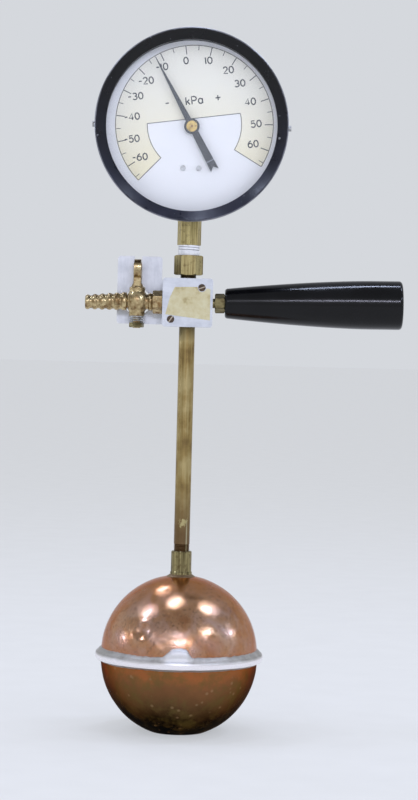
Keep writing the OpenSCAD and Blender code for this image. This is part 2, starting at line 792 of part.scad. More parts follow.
// Brass body: round barrel, hexagon towards the block and ridged hose tail
module stopcock_body() {
    hex_near = cock_out + cock_hex_x - cock_hex_len;
    stub = port_deep - 1;
    color("darkgoldenrod") translate([-cock_out, 0, block_z]) difference() {
        union() {
            rotate_extrude() {
                intersection() {
                    translate([cock_r - cock_curve, 0]) circle(cock_curve, $fn = 96);
                    translate([0, -boss_up]) square([cock_r + 1, 2 * boss_up]);
                }
                translate([0, -boss_up]) square([boss_r, 2 * boss_up]);
            }
            rotate([0, 90, 0]) {
                cylinder(h = hex_near + eps, r = neck_r);
                translate([0, 0, hex_near]) hex_bar(cock_hex, cock_hex_len, 0.7);
                translate([0, 0, hex_near + cock_hex_len - eps])
                    cylinder(h = stub + eps, r = small_r);
            }
            rotate([0, 90, 0]) rotate_extrude() intersection() {
                translate([neck_r - 0.4, (cock_r + hex_near) / 2]) circle(1.3);
                square([20, 60]);
            }
            rotate([0, -90, 0]) rotate_extrude() {
                square([tail_r, tail_len - 0.4]);
                square([neck_r, tail_len - ridge_pitch * ridges + 1]);
                for (i = [0 : ridges - 1]) {
                    r = ridge_d / 2 + ridge_grow * i / 2;
                    z = tail_len - ridge_round - ridge_pitch * i;
                    translate([r - ridge_round, z]) circle(ridge_round);
                    translate([0, z - ridge_round]) square([r - ridge_round, 2 * ridge_round]);
                }
            }
        }
        rotate([0, -90, 0]) cylinder(h = tail_len + 1, r = cock_bore / 2);
        rotate([0, 90, 0]) cylinder(h = hex_near + 40, r = cock_bore / 2);
        translate([0, 0, -boss_up - eps]) cylinder(h = 2 * boss_up + 2 * eps,
            r1 = plug_r_low + plug_gap, r2 = plug_r_top + plug_gap);
    }
}

// Tapered plug with its cross port, thumb piece and threaded end
module stopcock_plug() {
    thumb_mid = thumb_top - thumb_h / 2;
    color("burlywood") translate([-cock_out, 0, block_z]) difference() {
        union() {
            translate([0, 0, -boss_up]) cylinder(h = 2 * boss_up, r1 = plug_r_low, r2 = plug_r_top);
            translate([0, 0, nut_low - 0.4]) cylinder(h = -nut_low - boss_up + 1, r = plug_stud_d / 2);
            translate([0, 0, boss_up]) cylinder(h = 3, r1 = plug_r_top, r2 = thumb_rib);
            translate([0, 0, boss_up]) cylinder(h = thumb_top - boss_up - 3, r = thumb_rib);
            translate([0, 0, thumb_top - 3]) sphere(thumb_rib);
            translate([-thumb_t / 2, 0, 0]) rotate([90, 0, 90]) linear_extrude(thumb_t) {
                translate([0, thumb_mid]) round_rect(thumb_w, thumb_h, thumb_h * 0.45);
                translate([-thumb_rib - 1, boss_up + 0.8])
                    square([2 * thumb_rib + 2, thumb_mid - boss_up]);
            }
        }
        rotate([90, 0, 0]) cylinder(h = 40, r = cock_bore / 2, center = true);
    }
}

// Washer under the body
module plug_washer() {
    color("silver") translate([-cock_out, 0, block_z + washer_low]) difference() {
        cylinder(h = plug_washer_t, r = plug_washer_d / 2);
        translate([0, 0, -1]) cylinder(h = 9, r = plug_stud_d / 2 + thread_gap);
    }
}

// One closed tube along points, with round ends left flat; n sides
module wire_tube(points, r, n) {
    count = len(points);
    function heading(i) = let (a = points[max(i - 1, 0)], b = points[min(i + 1, count - 1)])
        (b - a) / norm(b - a);
    function side(i) = let (h = heading(i), s = cross(h, [0, 0, 1])) s / norm(s);
    rings = [for (i = [0 : count - 1], k = [0 : n - 1])
        let (s = side(i), u = cross(s, heading(i)))
        points[i] + r * (cos(360 * k / n) * s + sin(360 * k / n) * u)];
    walls = [for (i = [0 : count - 2], k = [0 : n - 1], half = [0, 1])
        let (a = i * n + k, b = i * n + (k + 1) % n)
        half == 0 ? [a, b, a + n] : [b, b + n, a + n]];
    ends = [for (k = [1 : n - 2]) [0, k + 1, k],
        for (k = [1 : n - 2]) [0, k, k + 1] + [1, 1, 1] * (count - 1) * n];
    polyhedron(rings, concat(walls, ends));
}

// Wire spring that draws the plug down into the body
module plug_spring() {
    color("lightgray") translate([-cock_out, 0, block_z + nut_top + joint_gap])
        wire_tube(spring_points, spring_wire / 2, 6);
}

// Nut on the plug's threaded end
module plug_nut() {
    color("olive") translate([-cock_out, 0, block_z + nut_low]) difference() {
        rotate([0, 0, 15]) hex_bar(plug_nut_af, plug_nut_h, 0.6);
        translate([0, 0, -1]) cylinder(h = 20, r = plug_stud_d / 2 + thread_gap);
    }
}

// Handle

// Threaded stud from the block into the handle
module handle_stud() {
    from = block_half - port_deep + joint_gap;
    color("goldenrod") on_handle(from) cylinder(h = grip_x + stud_in - from, r = stud_d / 2);
}

// Lock nut against the handle
module handle_lock_nut() {
    color("darkkhaki") on_handle(lock_x) difference() {
        hex_bar(lock_af, lock_h - joint_gap, 0.9);
        translate([0, 0, -1]) cylinder(h = 20, r = stud_d / 2 + thread_gap);
    }
}

// Threaded brass insert moulded into the handle
module handle_insert() {
    color("gold") on_handle(grip_x) difference() {
        cylinder(h = insert_len, r = insert_d / 2);
        translate([0, 0, -1]) cylinder(h = stud_in + 1.5, r = stud_d / 2 + thread_gap);
    }
}

// Turned profile of the handle: its radius at a distance from the inner end
function grip_r(t) = grip_d_out / 2
    - (grip_d_out - grip_d_in) / 2 * pow(1 - min(1, t / grip_swell), 1.6);

// Moulded phenolic handle
module handle_grip() {
    steps = 16;
    points = [for (i = [0 : steps])
        let (t = grip_round_in + (grip_swell - grip_round_in) * i / steps) [grip_r(t), t]];
    out_r = grip_d_out / 2;
    color("black") on_handle(grip_x) rotate_extrude($fn = 96) difference() {
        union() {
            polygon(concat([[0, 0], [grip_r(0) - grip_round_in, 0],
                [grip_r(0) - 0.3 * grip_round_in, 0.3 * grip_round_in]], points,
                [[out_r, grip_len - grip_round], [out_r - grip_round, grip_len - grip_round],
                [out_r - grip_round, grip_len], [0, grip_len]]));
            translate([out_r - grip_round, grip_len - grip_round]) circle(grip_round);
        }
        translate([0, -1]) square([insert_d / 2 + joint_gap, insert_len + 1 + joint_gap]);
    }
}

// Gauge fitting

// Brass adapter between the block and the gauge
module pipe_adapter() {
    color("darkkhaki") difference() {
        union() {
            translate([0, 0, block_top - port_deep + joint_gap])
                cylinder(h = port_deep + adapter_neck + 1, r = small_r);
            translate([0, 0, adapter_z]) hex_bar(adapter_af, adapter_h, 1);
        }
        translate([0, 0, adapter_z + 2])
            cylinder(h = adapter_h, r = gauge_thread_r + thread_gap);
        translate([0, 0, block_low]) cylinder(h = 60, r = passage_d / 2);
    }
}

// White thread tape wound on the gauge's thread
module thread_tape() {
    band = taped_len / wrap_bands;
    in_r = gauge_thread_r + joint_gap;
    color("white") translate([0, 0, adapter_top]) rotate_extrude() {
        for (i = [0 : wrap_bands - 1])
            polygon([[in_r, band * i], [in_r + wrap_t * 0.6, band * i],
                [in_r + wrap_t, band * (i + 0.25)], [in_r + wrap_t, band * (i + 0.75)],
                [in_r + wrap_t * 0.6, band * (i + 1)], [in_r, band * (i + 1)]]);
    }
}

// Forged brass socket: thread, octagonal shank, tube holder and movement bracket
module gauge_socket() {
    thread_low = adapter_z + 2.2;
    octagon_top = gauge_z - case_r + 2;
    shank_top = gauge_z - holder_r_in - 2;
    back_in = -case_back + case_wall + joint_gap;
    pad_edge = 1.5;
    color("gold") difference() {
        union() {
            translate([0, 0, thread_low])
                cylinder(h = shank_z - thread_low + eps, r = gauge_thread_r);
            translate([0, 0, shank_z]) cylinder(h = octagon_top - shank_z,
                r = shank_corner_r, $fn = 8);
            translate([0, 0, octagon_top - eps])
                cylinder(h = shank_top - octagon_top + eps, r = socket_neck_r);
            on_gauge(-holder_half) rotate([0, 0, holder_from])
                rotate_extrude(angle = holder_to - holder_from)
                    translate([holder_r_in, 0]) square([holder_r_out - holder_r_in, 2 * holder_half]);
            on_gauge(back_in) translate([-pad_w / 2, pad_edge - holder_r_out, 0])
                cube([pad_w, holder_r_out - holder_r_in - 2 * pad_edge, -back_in]);
            on_gauge(rear_plate_back - bracket_t) translate([-bracket_w / 2, -tube_r, 0])
                cube([bracket_w, tube_r - bracket_down, bracket_t - joint_gap]);
        }
        translate([0, 0, thread_low - 1])
            cylinder(h = gauge_z - tube_r - thread_low + 1, r = passage_d / 2 - 0.4);
        on_gauge() rotate([0, 0, holder_from - 1]) rotate_extrude(angle = 16)
            translate([tube_r, 0]) circle(passage_d / 2 - 0.4);
        for (s = [-1, 1]) on_gauge(-case_back) translate([back_screw_out * s, -tube_r, -1])
            cylinder(h = back_screw_len + 3, r = back_shank_d / 2 + thread_gap);
        for (p = bracket_screws) on_gauge(rear_plate_back) translate([p[0], p[1], -9])
            cylinder(h = 18, r = 1 + thread_gap);
    }
}

// Gauge case

// Drawn steel case: a cup with a round back edge and a turned-in front lip
module gauge_case() {
    depth = case_back + case_front;
    bend = case_bend;
    color("darkslategray") difference() {
        on_gauge(-case_back) rotate_extrude($fn = 96) difference() {
            union() {
                square([case_r - bend, depth]);
                translate([0, bend]) square([case_r, depth - bend]);
                translate([case_r - bend, bend]) circle(bend);
            }
            translate([0, case_wall]) square([case_r - bend, bend]);
            translate([0, bend]) square([case_r - case_wall, depth - case_wall - bend]);
            translate([case_r - bend, bend]) circle(bend - case_wall);
            translate([0, 2 * bend]) square([lip_in_r, depth]);
        }
        translate([0, 0, gauge_z - case_r - 5])
            cylinder(h = 20, r = shank_corner_r + 0.4);
        for (s = [-1, 1]) on_gauge(-case_back) translate([back_screw_out * s, -tube_r, -1])
            cylinder(h = back_screw_len + 3, r = back_shank_d / 2 + 0.1);
        translate([0, side_screw_y, gauge_z]) rotate([0, 90, 0])
            cylinder(h = 3 * bezel_r, r = side_shank_r + thread_gap, center = true);
    }
}

// Screws through the case's back into the socket
module socket_screws() {
    color("gray") for (s = [-1, 1])
        on_gauge(-case_back - joint_gap) translate([back_screw_out * s, -tube_r, 0])
            mirror([0, 0, 1]) rotate([0, 0, 50 + 30 * s])
                slotted_screw(back_screw_d, back_screw_d / 3, back_shank_d / 2, back_screw_len);
}

// Black bezel: a turned ring with a sloping face and a skirt over the case
module bezel_ring() {
    skirt_in = case_r + bezel_fit;
    skirt_end = bezel_front - bezel_len;
    color("black") difference() {
        on_gauge() rotate_extrude($fn = 96) polygon([[skirt_in, skirt_end],
            [skirt_r, skirt_end], [skirt_r, bezel_front - 4], [bezel_r, bezel_front - 2.4],
            [bezel_r, bezel_front - 0.4], [bezel_r - 0.4, bezel_front],
            [bezel_r - 1, bezel_front], [opening_r, slope_foot], [opening_r, window_front],
            [skirt_in, window_front]]);
        translate([0, side_screw_y, gauge_z]) rotate([0, 90, 0])
            cylinder(h = 3 * bezel_r, r = side_shank_r + 0.1, center = true);
    }
}

// Two screws in the bezel's side, at three and nine o'clock
module bezel_screws() {
    color("dimgray") for (s = [-1, 1]) translate([s * (skirt_r + joint_gap), side_screw_y, gauge_z])
        rotate([0, 90 * s, 0]) rotate([0, 0, 25]) slotted_screw(side_screw_d, side_screw_h,
            side_shank_r, skirt_r - case_r + case_wall + 0.4);
}

// Glass window
module window() {
    color("azure", 0.3) on_gauge(window_back + joint_gap)
        cylinder(h = window_t - 2 * joint_gap, r = window_r, $fn = 96);
}

// Rubber gasket between the window and the case
module window_gasket() {
    color("dimgray") on_gauge(case_front) rotate_extrude($fn = 96)
        translate([lip_in_r, 0]) square([window_r - lip_in_r, gasket_t]);
}

// Dial

// White painted dial
module dial_plate() {
    color("white") on_gauge(dial_back) difference() {
        cylinder(h = dial_t, r = dial_r, $fn = 96);
        translate([0, 0, -1]) cylinder(h = 9, r = 3);
        for (s = [-1, 1]) translate([s * dial_screw_out, -dial_screw_down, -1])
            cylinder(h = 9, r = 1.1);
    }
}

// Posts between the movement and the dial
module dial_posts() {
    color("khaki") for (s = [-1, 1])
        on_gauge(plate_front + joint_gap) translate([s * dial_screw_out, -dial_screw_down, 0])
            difference() {
                cylinder(h = dial_back - plate_front - 2 * joint_gap, r = 2);
                translate([0, 0, 0.5]) cylinder(h = 9, r = 1 + thread_gap);
            }
}

// Screws that hold the dial
module dial_screws() {
    color("silver") for (s = [-1, 1])
        on_gauge(dial_front + joint_gap) translate([s * dial_screw_out, -dial_screw_down, 0])
            rotate([0, 0, 30 * s]) slotted_screw(dial_screw_d, 0.9, 1, dial_t + 1.6);
}

// Paper scale card, cut open round the pointer's axis
module scale_card() {
    far = 2 * card_r;
    edge = [sin(card_end), cos(card_end)];
    color("beige") on_gauge(dial_front + joint_gap) translate([card_right, card_up, 0])
        rotate([0, 0, card_turn]) linear_extrude(card_t) difference() {
            circle(card_r, $fn = 96);
            intersection() {
                circle(card_window_r, $fn = 96);
                translate([-far / 2, card_chord - far]) square([far, far]);
            }
            polygon([[0, 0], far * edge, [far, -far], [-far, -far], [-far * edge[0], far * edge[1]]]);
        }
}

// Pointer and movement

// Flat pointer with a swallow tail
module pointer() {
    color("darkslategray") on_gauge(pointer_z) rotate([0, 0, pointer_rest])
        linear_extrude(pointer_t) difference() {
            union() {
                polygon([[-pointer_w / 2, 0], [pointer_w / 2, 0], [pointer_tip_w / 2, pointer_len],
                    [-pointer_tip_w / 2, pointer_len]]);
                polygon([[-pointer_w / 2, 0], [-tail_end_w / 2, -pointer_tail],
                    [0, -pointer_tail + tail_notch], [tail_end_w / 2, -pointer_tail],
                    [pointer_w / 2, 0]]);
                circle(pointer_ring_d / 2);
            }
            circle(hub_d / 2 - 1 + joint_gap);
        }
}

// Brass hub of the pointer
module pointer_hub() {
    color("gold") on_gauge(pointer_z - 1.6) difference() {
        union() {
            cylinder(h = hub_front - pointer_z + 1.6, r = hub_d / 2 - 1);
            translate([0, 0, 1.6 + pointer_t + joint_gap])
                cylinder(h = hub_front - pointer_z - pointer_t - joint_gap, r = hub_d / 2);
        }
        translate([0, 0, -1]) cylinder(h = 9, r = shaft_r + joint_gap);
    }
}

// Half angle that a tooth takes up at radius r, for a gear of n teeth
function inv(a) = tan(a) * 180 / PI - a;
function tooth_half(r, n) = let (pitch_r = gear_module * n / 2, base_r = pitch_r * cos(20),
    at = acos(min(1, base_r / max(r, base_r))))
    90 / n - gear_gap / 2 / pitch_r * 90 / PI + inv(20) - inv(at);

// Outline of tooth i of a gear of n teeth, from its root to its tip
function tooth(i, n, root_r, tip_r) = let (steps = 4,
    side = [for (k = [0 : steps]) let (r = root_r + (tip_r - root_r) * k / steps)
        [r, tooth_half(r, n)]])
    [for (k = [0 : steps]) side[k][0] * [sin(360 * i / n - side[k][1]), cos(360 * i / n - side[k][1])],
     for (k = [steps : -1 : 0])
        side[k][0] * [sin(360 * i / n + side[k][1]), cos(360 * i / n + side[k][1])]];

// Arbor that carries the pointer, with its pinion
module pinion_arbor() {
    root_r = pinion_r - 1.2 * gear_module;
    tip_r = pinion_r + 0.8 * gear_module;
    outline = [for (i = [0 : pinion_teeth - 1]) each tooth(i + 0.5 * (1 - pinion_teeth % 2), pinion_teeth,
        root_r, tip_r)];
    color("lightyellow") {
        on_gauge(sector_z - 1) difference() {
            linear_extrude(sector_t + 2) polygon(outline);
            translate([0, 0, -1]) cylinder(h = 9, r = shaft_r - 0.2);
        }
        on_gauge(rear_plate_back + 0.2)
            cylinder(h = hub_front - rear_plate_back, r = shaft_r);
        on_gauge(hair_z) cylinder(h = hair_h, r = collet_r);
    }
}

// Flat spiral spring that takes up the play of the gears, from the arbor's collet to its stud
module hairspring() {
    steps = 24 * hair_turns;
    thick = 0.2;
    r_in = collet_r + thick;
    function spiral(i, side) = let (r = r_in + (hair_r - r_in) * i / steps + side * thick / 2)
        r * [cos(15 * i), sin(15 * i)];
    color("steelblue") on_gauge(hair_z) linear_extrude(hair_h)
        polygon([for (i = [0 : steps]) spiral(i, -1), for (i = [steps : -1 : 0]) spiral(i, 1)]);
}

// Stud on the back plate that holds the hairspring's outer end
module hairspring_stud() {
    color("khaki") on_gauge(rear_plate_front + joint_gap) translate([hair_r + 1, 0, 0])
        cylinder(h = hair_z + hair_h - rear_plate_front + 0.4, r = 0.8);
}

// Outline of a movement plate with its bearing holes
module plate_outline() {
    difference() {
        union() {
            translate([0, plate_up - plate_head / 2])
                round_rect(2 * plate_half, plate_head, plate_head / 5);
            translate([-plate_waist, plate_foot / 2 - plate_down])
                square([2 * plate_waist, plate_up + plate_down - plate_head / 2]);
            translate([0, plate_foot / 2 - plate_down])
                round_rect(2 * plate_foot_half, plate_foot, plate_foot / 3);
        }
        circle(hole_r);
        translate([0, -shaft_down]) circle(hole_r);
    }
}

// Front plate of the movement
module front_movement_plate() {
    color("palegoldenrod") on_gauge(plate_back) linear_extrude(plate_t) plate_outline();
}

// Back plate of the movement
module back_movement_plate() {
    color("palegoldenrod") on_gauge(rear_plate_back) linear_extrude(plate_t) difference() {
        plate_outline();
        for (p = bracket_screws) translate(p) circle(1 + thread_gap);
    }
}

// Pillars that hold the two plates apart
module movement_pillars() {
    color("khaki") for (p = pillar_places)
        on_gauge(rear_plate_front + joint_gap) translate([p[0], p[1], 0])
            cylinder(h = plate_space - 2 * joint_gap, r = pillar_d / 2);
}

// Screws from the bracket into the back plate
module movement_screws() {
    color("silver") for (p = bracket_screws)
        on_gauge(rear_plate_back - bracket_t - joint_gap) translate([p[0], p[1], 0])
            mirror([0, 0, 1]) rotate([0, 0, 40]) slotted_screw(3.4, 1.2, 1, bracket_t + plate_t);
}

// Toothed sector with its tail
module sector_gear() {
    root_r = sector_r - 1.3 * gear_module;
    tip_r = sector_r + 0.6 * gear_module;
    half = (sector_side_teeth + 0.5) * 360 / sector_teeth;
    tail = pin_at + [0, shaft_down];
    teeth = [for (i = [-sector_side_teeth : sector_side_teeth]) each tooth(i, sector_teeth, root_r, tip_r)];
    color("khaki") on_gauge(sector_z) translate([0, -shaft_down, 0]) difference() {
        union() {
            linear_extrude(sector_t) polygon(concat([[1.2, 1.5], [-1.2, 1.5]], teeth));
            translate([0, 0, -0.4]) cylinder(h = sector_t + 0.8, r = 3.2);
            translate(tail) cylinder(h = sector_t, r = 1.8);
            rotate(atan2(tail[1], tail[0])) translate([0, -1.4, 0])
                cube([norm(tail), 2.8, sector_t]);
        }
        translate([0, 0, -1]) cylinder(h = 9, r = shaft_r);
        translate([tail[0], tail[1], -1]) cylinder(h = 9, r = pin_r + shaft_gap);
        for (s = [-1, 1]) rotate(s * half * 0.45) translate([0, 0.62 * sector_r, -1])
            cylinder(h = 9, r = 1.9);
    }
}

// Shaft of the sector
module sector_shaft() {
    color("lightyellow") on_gauge(rear_plate_back + 0.2) translate([0, -shaft_down, 0])
        cylinder(h = plate_space + 2 * plate_t - 0.4, r = shaft_r - joint_gap / 2);
}

// Link from the sector's tail to the tip of the Bourdon tube
module link() {
    color("gold") on_gauge(link_z) translate(pin_at) rotate(link_turn) linear_extrude(link_t)
        difference() {
            union() {
                circle(1.7);
                translate([link_len, 0]) circle(1.9);
                translate([0, -1]) square([link_len, 2]);
            }
            circle(pin_r - joint_gap / 2);
            translate([link_len, 0]) circle(pin_r + eye_gap);
        }
}

// Pin of the link in the sector's tail
module link_pin() {
    color("white") on_gauge(sector_z) translate(pin_at)
        cylinder(h = link_z + link_t - sector_z, r = pin_r - joint_gap);
}

// End piece soldered on the tip of the Bourdon tube
module tube_tip() {
    arm_z = sector_z;
    arm_t = link_z - arm_z - 0.25;
    at = tube_r * [cos(tube_end), sin(tube_end)];
    arm = tip_at - at;
    color("gold") {
        on_gauge(-tube_w / 2) rotate([0, 0, tube_end - 7]) rotate_extrude(angle = 7 - 0.05)
            translate([tube_r - tube_t / 2, 0]) square([tube_t + 0.6, tube_w]);
        on_gauge(arm_z) linear_extrude(arm_t) difference() {
            union() {
                translate(tip_at) circle(2.2);
                translate(tip_at) rotate(atan2(-arm[1], -arm[0]) - 18) translate([0, -2])
                    square([norm(arm) + 0.4, 4]);
            }
            translate(tip_at) circle(pin_r);
            rotate(tube_end) square([60, 60]);
        }
    }
}

// Pin of the end piece, free in the link's eye
module tip_pin() {
    color("white") on_gauge(sector_z) translate(tip_at)
        cylinder(h = link_z + link_t - sector_z + 0.2, r = pin_r - joint_gap);
}

// Flattened tube that straightens as the pressure rises
module bourdon_tube() {
    module section(w, t) {
        translate([0, -(w - t) / 2]) circle(t / 2);
        translate([0, (w - t) / 2]) circle(t / 2);
        square([t, w - t], center = true);
    }
    color("orange") on_gauge() rotate([0, 0, tube_end]) rotate_extrude(angle = tube_sweep - 0.05)
        translate([tube_r, 0]) difference() {
            section(tube_w, tube_t);
            section(tube_w - 2 * tube_wall, tube_t - 2 * tube_wall);
        }
}

lower_hemisphere();
upper_hemisphere();
seam_solder();
solder_patch();
stem_collar();
collar_solder();
stem_pipe();
manifold_block();
block_screws();
screw_nuts();
guard_plate();
tape_label();
stopcock_body();
stopcock_plug();
plug_washer();
plug_spring();
plug_nut();
handle_stud();
handle_lock_nut();
handle_insert();
handle_grip();
pipe_adapter();
thread_tape();
gauge_socket();
gauge_case();
socket_screws();
bezel_ring();
bezel_screws();
window();
window_gasket();
dial_plate();
dial_posts();
dial_screws();
scale_card();
pointer();
pointer_hub();
pinion_arbor();
hairspring();
hairspring_stud();
front_movement_plate();
back_movement_plate();
movement_pillars();
movement_screws();
sector_gear();
sector_shaft();
link();
link_pin();
tube_tip();
tip_pin();
bourdon_tube();
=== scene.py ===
# Gas thermometer: the finish of every piece, in the order in which it is put together.
import json
import math
import bmesh
import bpy
from mathutils import Matrix, Vector, geometry, noise


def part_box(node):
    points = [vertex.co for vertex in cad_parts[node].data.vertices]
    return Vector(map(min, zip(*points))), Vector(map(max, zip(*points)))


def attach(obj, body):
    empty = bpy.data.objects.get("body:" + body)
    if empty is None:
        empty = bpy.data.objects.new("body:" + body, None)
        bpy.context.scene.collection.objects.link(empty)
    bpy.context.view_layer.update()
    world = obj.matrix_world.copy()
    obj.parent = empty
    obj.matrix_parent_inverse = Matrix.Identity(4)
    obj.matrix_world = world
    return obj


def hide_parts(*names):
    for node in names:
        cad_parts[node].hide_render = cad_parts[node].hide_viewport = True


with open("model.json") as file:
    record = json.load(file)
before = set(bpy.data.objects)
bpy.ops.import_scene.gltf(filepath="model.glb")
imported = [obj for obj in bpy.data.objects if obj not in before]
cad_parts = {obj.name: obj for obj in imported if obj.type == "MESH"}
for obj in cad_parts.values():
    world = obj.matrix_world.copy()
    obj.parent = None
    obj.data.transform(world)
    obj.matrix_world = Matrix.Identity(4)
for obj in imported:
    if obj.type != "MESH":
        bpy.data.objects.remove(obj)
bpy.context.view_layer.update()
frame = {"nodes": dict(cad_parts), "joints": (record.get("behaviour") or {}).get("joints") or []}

# Camera.
# A long lens at the height of the stem, level with the fittings, turned a little because the
# photographed object leans to the right.
mm = 0.001
nodes = frame["nodes"]
camera_data = bpy.data.cameras.new("camera")
camera_data.lens = 103.56
camera_data.sensor_width = 36
camera = bpy.data.objects.new("camera", camera_data)
bpy.context.scene.collection.objects.link(camera)
camera_place = Vector((0.01548, -1.5, 0.25433))
camera_pitch = math.radians(-1.435)
camera_roll = math.radians(1.439)
camera.matrix_world = (Matrix.Translation(camera_place)
    @ Matrix.Rotation(math.pi / 2 + camera_pitch, 4, "X") @ Matrix.Rotation(camera_roll, 4, "Z"))
bpy.context.scene.camera = camera


# Studio.
# A pale floor and a pale surround that darkens overhead, a long soft lamp in front and small lamps
# above, as in a classroom: they give the copper its broken row of bright patches.
def linear(hex_colour, alpha=1.0):
    """An sRGB hex colour as linear values."""
    parts = [int(hex_colour[i:i + 2], 16) / 255 for i in (1, 3, 5)]
    return (*[c / 12.92 if c <= 0.04045 else ((c + 0.055) / 1.055) ** 2.4 for c in parts], alpha)


def add(tree, kind, settings=None, links=None):
    """Adds a node: settings are its properties and socket values, links feed its sockets."""
    node = tree.nodes.new(kind)
    for key, value in (settings or {}).items():
        if key == "stops":
            ramp = node.color_ramp
            while len(ramp.elements) < len(value):
                ramp.elements.new(0.5)
            for element, (place, colour) in zip(ramp.elements, value):
                element.position = place
                element.color = colour
        elif isinstance(key, str) and hasattr(node, key):
            setattr(node, key, value)
        else:
            node.inputs[key].default_value = value
    for key, source in (links or {}).items():
        tree.links.new(source, node.inputs[key])
    return node


def new_material(name):
    """An empty material: its tree, its object coordinates and its output node."""
    material = bpy.data.materials.new(name)
    material.use_nodes = True
    tree = material.node_tree
    tree.nodes.clear()
    place = add(tree, "ShaderNodeTexCoord").outputs["Object"]
    output = add(tree, "ShaderNodeOutputMaterial")
    return material, tree, place, output


def floor_paint(air_colour):
    """Plain matt pale floor paint; two thirds of what the camera sees is its plain colour."""
    material, tree, place, output = new_material("matt floor paint")
    grain = add(tree, "ShaderNodeTexNoise", {"Scale": 30.0, "Detail": 4.0}, {"Vector": place})
    tone = add(tree, "ShaderNodeValToRGB", {"stops": [(0.3, linear("#e6e5e4")),
        (0.7, linear("#ecebea"))]}, {"Fac": grain.outputs["Fac"]})
    painted = add(tree, "ShaderNodeBsdfPrincipled", {"Roughness": 0.8,
        "Specular IOR Level": 0.1}, {"Base Color": tone.outputs["Color"]})
    plain = add(tree, "ShaderNodeEmission", {"Color": linear(air_colour), "Strength": 1.0})
    ray = add(tree, "ShaderNodeLightPath")
    seen = add(tree, "ShaderNodeMath", {"operation": "MAXIMUM"},
        {0: ray.outputs["Is Camera Ray"], 1: ray.outputs["Is Glossy Ray"]})
    share = add(tree, "ShaderNodeMath", {"operation": "MULTIPLY", 1: 0.65}, {0: seen.outputs[0]})
    both = add(tree, "ShaderNodeMixShader", None,
        {0: share.outputs[0], 1: painted.outputs[0], 2: plain.outputs[0]})
    tree.links.new(both.outputs[0], output.inputs[0])
    return material


surround = "#d5d8dd"
floor_mesh = bpy.data.meshes.new("floor")
floor_half = 25.0
floor_mesh.from_pydata([(x * floor_half, y * floor_half, 0) for x, y in
    ((-1, -1), (1, -1), (1, 1), (-1, 1))], [], [(0, 1, 2, 3)])
floor = bpy.data.objects.new("floor", floor_mesh)
floor_mesh.materials.append(floor_paint(surround))
bpy.context.scene.collection.objects.link(floor)

world = bpy.data.worlds.new("studio")
bpy.context.scene.world = world
world.use_nodes = True
air = world.node_tree
air.nodes.clear()
ray = add(air, "ShaderNodeLightPath")
seen = add(air, "ShaderNodeMath", {"operation": "MAXIMUM"},
    {0: ray.outputs["Is Camera Ray"], 1: ray.outputs["Is Transmission Ray"]})
seen_too = add(air, "ShaderNodeMath", {"operation": "MAXIMUM"},
    {0: seen.outputs[0], 1: ray.outputs["Is Glossy Ray"]})
way = add(air, "ShaderNodeTexCoord")
height = add(air, "ShaderNodeSeparateXYZ", None, {0: way.outputs["Generated"]})
sky = add(air, "ShaderNodeValToRGB", {"stops": [(0.0, linear(surround)), (0.25, linear(surround)),
    (0.6, linear("#b0b3ba")), (1.0, linear("#a0a3aa"))]}, {"Fac": height.outputs["Z"]})
pale = add(air, "ShaderNodeBackground", {"Strength": 1.0}, {"Color": sky.outputs["Color"]})
light = add(air, "ShaderNodeBackground", {"Color": linear("#e9ecf2"), "Strength": 0.92})
mixed = add(air, "ShaderNodeMixShader", None,
    {0: seen_too.outputs[0], 1: light.outputs[0], 2: pale.outputs[0]})
add(air, "ShaderNodeOutputWorld", None, {0: mixed.outputs[0]})


def lamp(name, place, width, height, brightness, colour):
    """A soft rectangular lamp that shines at the middle of the object."""
    data = bpy.data.lights.new(name, "AREA")
    data.shape = "RECTANGLE"
    data.size = width
    data.size_y = height
    data.energy = brightness * math.pi * width * height
    data.color = linear(colour)[:3]
    obj = bpy.data.objects.new(name, data)
    aim = Vector((0, 0, 0.2)) - Vector(place)
    obj.matrix_world = Matrix.Translation(place) @ aim.to_track_quat("-Z", "Y").to_matrix().to_4x4()
    bpy.context.scene.collection.objects.link(obj)


lamp("lamp_left", (-1.15, -0.1, 1.5), 0.22, 0.28, 20, "#d5e1ff")
lamp("lamp_middle", (-0.02, 0.02, 1.7), 0.78, 0.07, 40, "#d5e1ff")
lamp("lamp_right", (0.86, 0.02, 1.5), 0.28, 0.28, 20, "#d5e1ff")
lamp("lamp_side", (1.3, -1.2, 1.2), 0.6, 0.17, 16, "#d5e1ff")
lamp("lamp_far_right", (1.8, 0.06, 0.8), 0.15, 0.15, 22, "#d5e1ff")
lamp("lamp_far_left", (-1.83, 0.1, 0.5), 0.14, 0.14, 22, "#d5e1ff")
lamp("lamp_back", (-0.45, 0.8, 1.5), 0.18, 0.15, 20, "#dfe4ff")
lamp("lamp_front", (-0.3, -2.3, 1.1), 2.2, 0.3, 2.3, "#f1f4ff")
lamp("lamp_strip", (0.16, -2.2, 1.03), 0.8, 0.07, 46, "#e3e4ff")

bpy.context.scene.view_settings.view_transform = "Standard"


# Copper ball.
# Two hemispheres drawn from sheet copper. Years of knocks have left round dents in the upper one,
# and each has its own stains.
ball_r = 51 * mm
ball_wall = 0.9 * mm
seam_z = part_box("upper_hemisphere")[0].z
seam_straight = 1.65 * mm
ball_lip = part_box("upper_hemisphere")[1].x - ball_r
